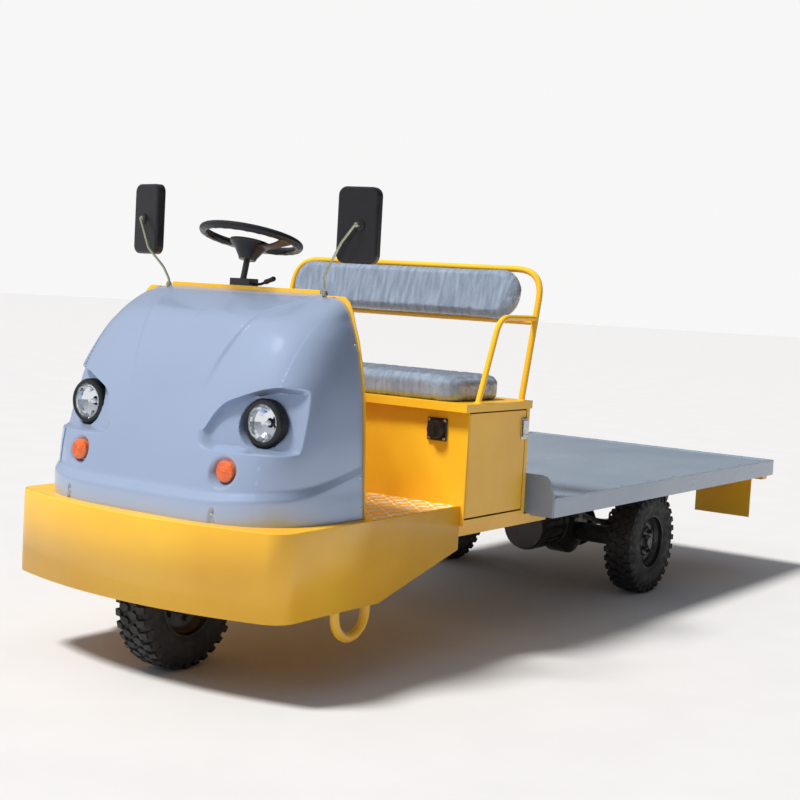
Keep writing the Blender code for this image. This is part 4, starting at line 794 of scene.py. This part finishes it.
for side_name, side in (("left", 1), ("right", -1)):
    facing = Matrix.Rotation(math.radians(12 * side), 4, "Z")
    middle = Matrix.Translation((side * 0.480, 0.565, 1.532)) @ facing
    case = bmesh.new()
    bmesh.ops.create_cube(case, size=1.0)
    bmesh.ops.scale(case, vec=(0.150, 0.034, 0.255), verts=case.verts)
    upright = [e for e in case.edges if abs(e.verts[0].co.y - e.verts[1].co.y) > 0.02]
    bmesh.ops.bevel(case, geom=upright, offset=0.030, segments=10, affect="EDGES", profile=0.5, material=-1)
    front_face = min(case.faces, key=lambda f: f.calc_center_median().y)
    bmesh.ops.bevel(case, geom=[*front_face.edges], offset=0.011, segments=6, affect="EDGES", profile=0.5,
                    material=-1)
    back_face = max(case.faces, key=lambda f: f.calc_center_median().y)
    bmesh.ops.inset_region(case, faces=[back_face], thickness=0.005, depth=0.0)
    bmesh.ops.inset_region(case, faces=[back_face], thickness=0.0012, depth=-0.003)
    rim_edges = [e for e in case.edges if e.is_manifold and e.calc_face_angle(0) > 1.2]
    bmesh.ops.bevel(case, geom=rim_edges, offset=0.0012, segments=2, affect="EDGES", profile=0.5, material=-1,
                    clamp_overlap=True)
    merge(case, lathe([(0.0, 0.0), (0.0, 0.020), (0.004, 0.019), (0.006, 0.013), (0.006, 0.0)],
                      (side * 0.010, -0.0165, 0),
                      (0, -1, 0), 32))
    bmesh.ops.transform(case, matrix=middle, verts=case.verts)
    shown(f"mirror_case_{side_name}", case, plastic, "chassis", 32, f"mirror_{side_name}")
    face = bmesh.new()
    bmesh.ops.create_cube(face, size=1.0)
    bmesh.ops.scale(face, vec=(0.137, 0.0016, 0.242), verts=face.verts)
    corner = [e for e in face.edges if abs(e.verts[0].co.y - e.verts[1].co.y) > 0.0008]
    bmesh.ops.bevel(face, geom=corner, offset=0.0245, segments=10, affect="EDGES", profile=0.5, material=-1)
    bmesh.ops.transform(face, matrix=middle @ Matrix.Translation((0, 0.0148, 0)), verts=face.verts)
    shown(f"mirror_face_{side_name}", face, looking, "chassis", 35)
    foot = Vector((side * 0.359, 0.5565, 1.2933))
    path = [foot + Vector(p) for p in ((0, 0, 0), (0, 0, 0.022), (side * 0.010, -0.022, 0.067),
                                       (side * 0.066, -0.045, 0.132))]
    path += [Vector((side * 0.448, 0.5150, 1.470)), Vector((side * 0.490, 0.5300, 1.532))]
    arm = tube(path, 0.0045, 20, 0.05)
    merge(arm, lathe([(0.0, 0.0), (0.0, 0.010), (0.010, 0.0100), (0.014, 0.006), (0.014, 0.0)],
                     foot - Vector((0, 0, 0.001)),
                     (0, 0, 1), 28))
    merge(arm, hex_head(foot + Vector((0, 0, 0.009)), (0, 0, 1), 0.016, 0.006, False))
    ball = lathe([(-0.011, 0.0), (-0.010, 0.006), (-0.006, 0.0095), (0.004, 0.0102), (0.010, 0.0085),
                  (0.012, 0.0)],
                 (side * 0.490, 0.5400, 1.532), (0, 1, 0), 28)
    merge(arm, ball)
    shown(f"mirror_rod_{side_name}", arm, zinc, "chassis", 60, f"mirror_arm_{side_name}")

# ---- Box fittings and seat frame ---------------------------------------------------------------------
# The charge socket is a square flange with four screws and a round ribbed cap. Each door has a toggle
# latch, and the lid has two hinges behind. The seat frame is bent round tube on welded feet.
socket = block((0.448, 1.0897, 0.786), (0.532, 1.0995, 0.870), 0.004)
merge(socket, lathe([(0.0, 0), (0.0, 0.035), (0.006, 0.034), (0.009, 0.031), (0.020, 0.030), (0.0216, 0.027),
                     (0.0216, 0.021), (0.0196, 0.019), (0.0196, 0.0)], (0.490, 1.0899, 0.828), (0, -1, 0),
                    64))
merge(socket, block((0.486, 1.0665, 0.812), (0.494, 1.0715, 0.844), 0.0015))
shown("charge_socket_body", socket, plastic, "chassis", 35, "charge_socket")
screws = bmesh.new()
for x in (0.457, 0.523):
    for z in (0.795, 0.861):
        merge(screws, lathe([(0.0, 0), (0.0, 0.0058), (0.0018, 0.0048), (0.0024, 0.0022), (0.0010, 0.0018),
                             (0.0010, 0)],
                            (x, 1.0898, z), (0, -1, 0), 20))
shown("charge_socket_screws", screws, bright_steel, "chassis", 40)
for side_name, side in (("left", 1), ("right", -1)):
    latch = block((side * 0.6270 - 0.0005, 1.478, 0.792), (side * 0.6270 + 0.0040, 1.516, 0.856), 0.0012)
    base = block((side * 0.6222 - 0.0019, 1.4745, 0.7825), (side * 0.6222 + 0.0019, 1.5195, 0.8655), 0.0012)
    merge(latch, base, tube([(side * 0.6290, 1.484, 0.846), (side * 0.6290, 1.484, 0.862),
                             (side * 0.6290, 1.510, 0.862),
                             (side * 0.6290, 1.510, 0.846)], 0.0022, 12, 0.006))
    for z in (0.790, 0.858):
        merge(latch, lathe([(0.0, 0.0), (0.0, 0.0038), (0.0018, 0.0026), (0.0022, 0.0)],
                           (side * 0.6240, 1.497, z), (side, 0, 0), 16))
    merge(latch, tube([(side * 0.6290, 1.480, 0.800), (side * 0.6290, 1.514, 0.800)], 0.0032, 12))
    shown(f"door_toggle_{side_name}", latch, bright_steel, f"battery_door_{side_name}", 35,
          f"door_latch_{side_name}")
hinge = bmesh.new()
for x in (-0.40, 0.40):
    merge(hinge, block((x - 0.045, 1.5362, 0.868), (x + 0.045, 1.5392, 0.915), 0.0008))
    merge(hinge, lathe([(-0.045, 0.0), (-0.045, 0.005), (0.045, 0.005), (0.045, 0.0)], (x, 1.5412, 0.9135),
                       (1, 0, 0), 20))
    for dx in (-0.028, 0.0, 0.028):
        merge(hinge, hex_head((x + dx, 1.5390, 0.885), (0, 1, 0), 0.009, 0.004, False))
shown("lid_hinges", hinge, yellow, "chassis", 35)

SLOPE = math.tan(math.radians(12.5))
TUBE_X = 0.605
FOOT_Z, BAR_Z, ARM_Z, HOOP_Z = 0.931, 1.228, 1.243, 1.428
ARM_FRONT_Y, ARM_FOOT_Y = 1.300, 1.180


def back_y(z):
    return 1.491 + (z - 0.930) * SLOPE


bars = tube([(-TUBE_X, back_y(FOOT_Z), FOOT_Z), (-TUBE_X, back_y(HOOP_Z), HOOP_Z),
             (TUBE_X, back_y(HOOP_Z), HOOP_Z),
             (TUBE_X, back_y(FOOT_Z), FOOT_Z)], 0.0125, 28, 0.115)
merge(bars, tube([(-TUBE_X, back_y(BAR_Z), BAR_Z), (TUBE_X, back_y(BAR_Z), BAR_Z)], 0.0112, 24))
for side in (1, -1):
    x = side * TUBE_X
    merge(bars, tube([(x, back_y(ARM_Z), ARM_Z), (x, ARM_FRONT_Y, ARM_Z), (x, ARM_FOOT_Y, FOOT_Z)], 0.01125,
                     24, 0.085))
    for y, z, wide in ((back_y(FOOT_Z), 0.9305, 0.0125), (ARM_FOOT_Y, 0.9305, 0.0113)):
        merge(bars, lathe([(0.0, 0.0), (0.0, wide + 0.0042), (0.0012, wide + 0.0036), (0.0042, wide + 0.0006),
                           (0.0050, wide - 0.003), (0.0050, 0.0)], (x, y, z), (0, 0, 1), 32))
for v in bars.verts:
    v.co.z = max(v.co.z, 0.9303)
shown("seat_frame_tube", bars, yellow, "seat", 50, "seat_frame")

# ---- Cushions ----------------------------------------------------------------------------------------
# Blue-grey vinyl pads, still in their thin clear wrapping. Each is puffed by a short cloth run, then the
# wrapping's tight vertical gathers are raised over it, finer and more tangled along the front lower edge.
film = surface("wrapped_vinyl", (0.20, 0.26, 0.35), 0.30, Coat_Weight=1.0, Coat_Roughness=0.07, Coat_IOR=1.6)
# The lighter vertical streaks in the pad colour are painted highlight from the wrapping's folds.
tint(film, grain(film, 26.0, 6.0, (2.2, 1, 0.35)), ((0.18, 0.235, 0.325), (0.30, 0.37, 0.47)), (0.38, 0.70))
tint(film, grain(film, 40.0, 4.0, (2.5, 1, 0.4)), (0.20, 0.42), socket="Roughness")
emboss(film, grain(film, 70.0, 4.0, (2.6, 1.0, 0.35)), 0.9, 0.012, coat=True)
emboss(film, grain(film, 90.0, 3.0, (2.0, 1.2, 0.5)), 0.35, 0.004)


def rounded_slab(size, plan_radius, edge, cuts=5):
    """A slab whose upright corners and whose top and bottom edges are rounded."""
    shape = bmesh.new()
    bmesh.ops.create_cube(shape, size=1.0)
    bmesh.ops.scale(shape, vec=size, verts=shape.verts)
    upright = [e for e in shape.edges if abs(e.verts[0].co.z - e.verts[1].co.z) > size[2] * 0.5]
    bmesh.ops.bevel(shape, geom=upright, offset=plan_radius, segments=8, affect="EDGES", profile=0.5,
                    material=-1)
    caps = [e for e in shape.edges if abs(e.verts[0].co.z - e.verts[1].co.z) < 1e-6]
    bmesh.ops.bevel(shape, geom=caps, offset=edge, segments=cuts, affect="EDGES", profile=0.5, material=-1)
    return shape


def puffed(name, shape, cap, voxel=0.006):
    """Remeshes a pad, blows it up with cloth pressure and keeps each point within cap of where it began."""
    mesh = bpy.data.meshes.new(name)
    shape.to_mesh(mesh)
    shape.free()
    pad = bpy.data.objects.new(name, mesh)
    bpy.context.scene.collection.objects.link(pad)
    voxels = pad.modifiers.new("voxels", "REMESH")
    voxels.mode = "VOXEL"
    voxels.voxel_size = voxel
    mesh = bpy.data.meshes.new_from_object(pad.evaluated_get(bpy.context.evaluated_depsgraph_get()))
    pad.modifiers.clear()
    pad.data = mesh
    start = [v.co.copy() for v in mesh.vertices]
    cloth = pad.modifiers.new("swell", "CLOTH")
    cloth.settings.use_pressure = True
    cloth.settings.uniform_pressure_force = 4.0
    cloth.settings.effector_weights.gravity = 0.0
    cloth.point_cache.frame_start, cloth.point_cache.frame_end = 1, 20
    for moment in range(1, 21):
        bpy.context.scene.frame_set(moment)
    swollen = bpy.data.meshes.new_from_object(pad.evaluated_get(bpy.context.evaluated_depsgraph_get()))
    pad.modifiers.clear()
    pad.data = swollen
    for v, before in zip(swollen.vertices, start):
        moved = v.co - before
        if moved.length > cap:
            v.co = before + moved.normalized() * cap
    bpy.context.scene.frame_set(1)
    done = bmesh.new()
    done.from_mesh(pad.data)
    bpy.data.objects.remove(pad)
    bmesh.ops.smooth_vert(done, verts=done.verts, factor=0.5, use_axis_x=True, use_axis_y=True,
                          use_axis_z=True)
    return done


def gathers(p, lie, up, seed):
    """Height of the wrapping's folds at a point: lie is the distance along the pad, up its height, 0 to 1."""
    sway = 0.010 * noise.noise(Vector((lie * 3.0, up * 2.2, seed))) + 0.005 * noise.noise(
        Vector((lie * 14.0, up * 5.0, seed + 4)))
    fold = noise.noise(Vector(((lie + sway) * 95.0, up * 1.3, seed + 1)))
    fine = noise.noise(Vector(((lie + sway) * 190.0, up * 3.2, seed + 2)))
    tangle = noise.noise(Vector((lie * 60.0, up * 9.0, p.y * 60.0 + seed)))
    strong = 0.55 + 0.45 * noise.noise(Vector((lie * 6.0, up * 2.0, seed + 7)))
    return 0.0030 * (1 - abs(fold) * 2.4) * strong + 0.0011 * (1 - abs(fine) * 2.2) + 0.0010 * tangle * (1 - up)


SEAT_LOW, SEAT_HIGH = 0.9303, 1.025
pad = rounded_slab((1.120, 0.356, 0.080), 0.060, 0.020)
bmesh.ops.translate(pad, vec=(0, 1.2655, SEAT_LOW + 0.041), verts=pad.verts)
pad = puffed("seat_pad", pad, 0.010)
pad.normal_update()
for v in pad.verts:
    up = min(max((v.co.z - SEAT_LOW) / 0.09, 0.0), 1.0)
    across_seat = 1 - (abs(v.co.x) / 0.57) ** 4
    v.co.z += 0.006 * up * max(across_seat, 0) * max(0.0, 1 - ((v.co.y - 1.2655) / 0.19) ** 2)
    v.co += v.normal * (gathers(v.co, v.co.x if abs(v.normal.x) < 0.8 else v.co.y, up,
                                3.0) - 0.001) * (0.7 + 0.5 * up)
for v in pad.verts:
    v.co.x = min(max(v.co.x, -0.571), 0.571)
    v.co.y = min(max(v.co.y, 1.0765), 1.4545)
    v.co.z = min(max(v.co.z, SEAT_LOW + 0.0004), SEAT_HIGH + 0.006)
seat_piece = shown("seat_pad", pad, film, "seat", 180, "seat_cushion")

pad = rounded_slab((1.100, 0.204, 0.062), 0.096, 0.026)
bmesh.ops.rotate(pad, matrix=Matrix.Rotation(math.radians(90), 3, "X"), verts=pad.verts)
pad = puffed("backrest_pad", pad, 0.010)
pad.normal_update()
for v in pad.verts:
    up = min(max(v.co.z / 0.21 + 0.5, 0.0), 1.0)
    v.co += v.normal * (gathers(v.co, v.co.x if abs(v.normal.x) < 0.8 else v.co.y, up, 11.0) - 0.001)
for v in pad.verts:
    v.co.x = min(max(v.co.x, -0.561), 0.561)
    v.co.y = min(max(v.co.y, -0.0385), 0.0375)
    v.co.z = min(max(v.co.z, -0.106), 0.106)
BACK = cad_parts["backrest_cushion"]
corners = [BACK.matrix_world @ Vector(c) for c in BACK.bound_box]
middle = sum(corners, Vector()) / 8
place = Matrix.Translation(middle) @ Matrix.Rotation(math.radians(-12.5), 4, "X")
bmesh.ops.transform(pad, matrix=place, verts=pad.verts)
back_piece = shown("backrest_pad", pad, film, "seat", 180, "backrest_cushion", station=False)

# ---- Bed, running gear and lamps ---------------------------------------------------------------------
# A raised strip with a row of screws runs along three edges of the deck. Underneath are the springs'
# U-bolts, the axle's cover and bolts, and the motor's fins. Tail lamps are ribbed red lenses on black backs.
strip = bmesh.new()
TOP, EDGE = 0.554, 0.713
for low, high in (((-EDGE, 3.872, TOP - 0.001), (EDGE, 3.906, TOP + 0.0022)),
                  ((-EDGE, 1.612, TOP - 0.001), (-EDGE + 0.034, 3.872, TOP + 0.0022)),
                  ((EDGE - 0.034, 1.612, TOP - 0.001), (EDGE, 3.872, TOP + 0.0022))):
    merge(strip, block(low, high, 0.0008, 2))
shown("bed_edge_strip", strip, bed_grey, "chassis", 35)
heads = bmesh.new()
SCREW = [(0.0, 0.0), (0.0, 0.0070), (0.0016, 0.0058), (0.0024, 0.003), (0.0024, 0.0)]
spots = [(-0.66 + 0.12 * i, 3.889) for i in range(12)]
spots += [(side * (EDGE - 0.017), 1.70 + 0.255 * i) for side in (1, -1) for i in range(9)]
for x, y in spots:
    merge(heads, lathe(SCREW, (x, y, TOP + 0.002), (0, 0, 1), 20))
shown("bed_screws", heads, bright_steel, "chassis", 40)

gear = bmesh.new()
for side in (1, -1):
    x = side * 0.413
    for dy in (-0.045, 0.045):
        merge(gear, tube([(x - 0.0318, 2.80 + dy, 0.220), (x - 0.0318, 2.80 + dy, 0.352),
                          (x + 0.0318, 2.80 + dy, 0.352),
                          (x + 0.0318, 2.80 + dy, 0.220)], 0.0052, 14, 0.012))
        for dx in (-0.0318, 0.0318):
            merge(gear, hex_head((x + dx, 2.80 + dy, 0.228), (0, 0, -1), 0.018, 0.010))
for i in range(9):
    a = math.tau * i / 9
    merge(gear, hex_head((0.12 + math.cos(a) * 0.105, 2.918, 0.257 + math.sin(a) * 0.105), (0, 1, 0), 0.014,
                         0.010))
merge(gear, lathe([(0.0, 0.0), (0.0, 0.112), (0.006, 0.116), (0.012, 0.112), (0.012, 0.0)],
                  (0.12, 2.905, 0.257),
                  (0, 1, 0), 56))
for y in (2.445, 2.630):
    merge(gear, lathe([(-0.006, 0.096), (-0.006, 0.106), (0.006, 0.106), (0.006, 0.096), (-0.006, 0.096)],
                      (0.12, y, 0.28), (0, 1, 0), 56))
for i in range(24):
    a = math.tau * i / 24
    fin = block((-0.0022, 2.460, 0.095), (0.0022, 2.615, 0.107), 0)
    bmesh.ops.rotate(fin, matrix=Matrix.Rotation(a, 3, "Y"), verts=fin.verts)
    bmesh.ops.translate(fin, vec=(0.12, 0, 0.28), verts=fin.verts)
    merge(gear, fin)
shown("running_gear_details", gear, black, "chassis", 35)

for side_name, side in (("left", 1), ("right", -1)):
    bar = bmesh.new()
    bar.from_mesh(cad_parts[f"lashing_loop_{side_name}"].data)
    bmesh.ops.remove_doubles(bar, verts=bar.verts, dist=2e-5)
    bmesh.ops.smooth_vert(bar, verts=bar.verts, factor=0.15, use_axis_x=True, use_axis_y=True,
                          use_axis_z=True)
    shown(f"lashing_bar_{side_name}", bar, yellow, "chassis", 60, f"lashing_loop_{side_name}",
          station=False)

red = surface("red_lens", (0.52, 0.012, 0.012), 0.12, Coat_Weight=1.0, Coat_Roughness=0.04)
tint(red, grain(red, 160.0, kind="VORONOI"), ((0.62, 0.02, 0.02), (0.30, 0.004, 0.004)), (0.1, 0.7))
emboss(red, grain(red, 220.0, kind="VORONOI"), 0.5, 0.002)
for side_name, side in (("left", 1), ("right", -1)):
    low, high = side * 0.522 - 0.060, side * 0.522 + 0.060
    lens = block((low + 0.003, 3.8860, 0.323), (high - 0.003, 3.9030, 0.377), 0.004)
    for i in range(7):
        x = low + 0.015 + i * 0.015
        merge(lens, block((x - 0.0012, 3.9020, 0.328), (x + 0.0012, 3.9042, 0.372), 0.0005, 2))
    shown(f"tail_lens_{side_name}", lens, red, "chassis", 35, f"tail_lamp_{side_name}")
    shown(f"tail_lamp_back_{side_name}", block((low, 3.8822, 0.320), (high, 3.8875, 0.380), 0.0015), plastic,
          "chassis", 35)
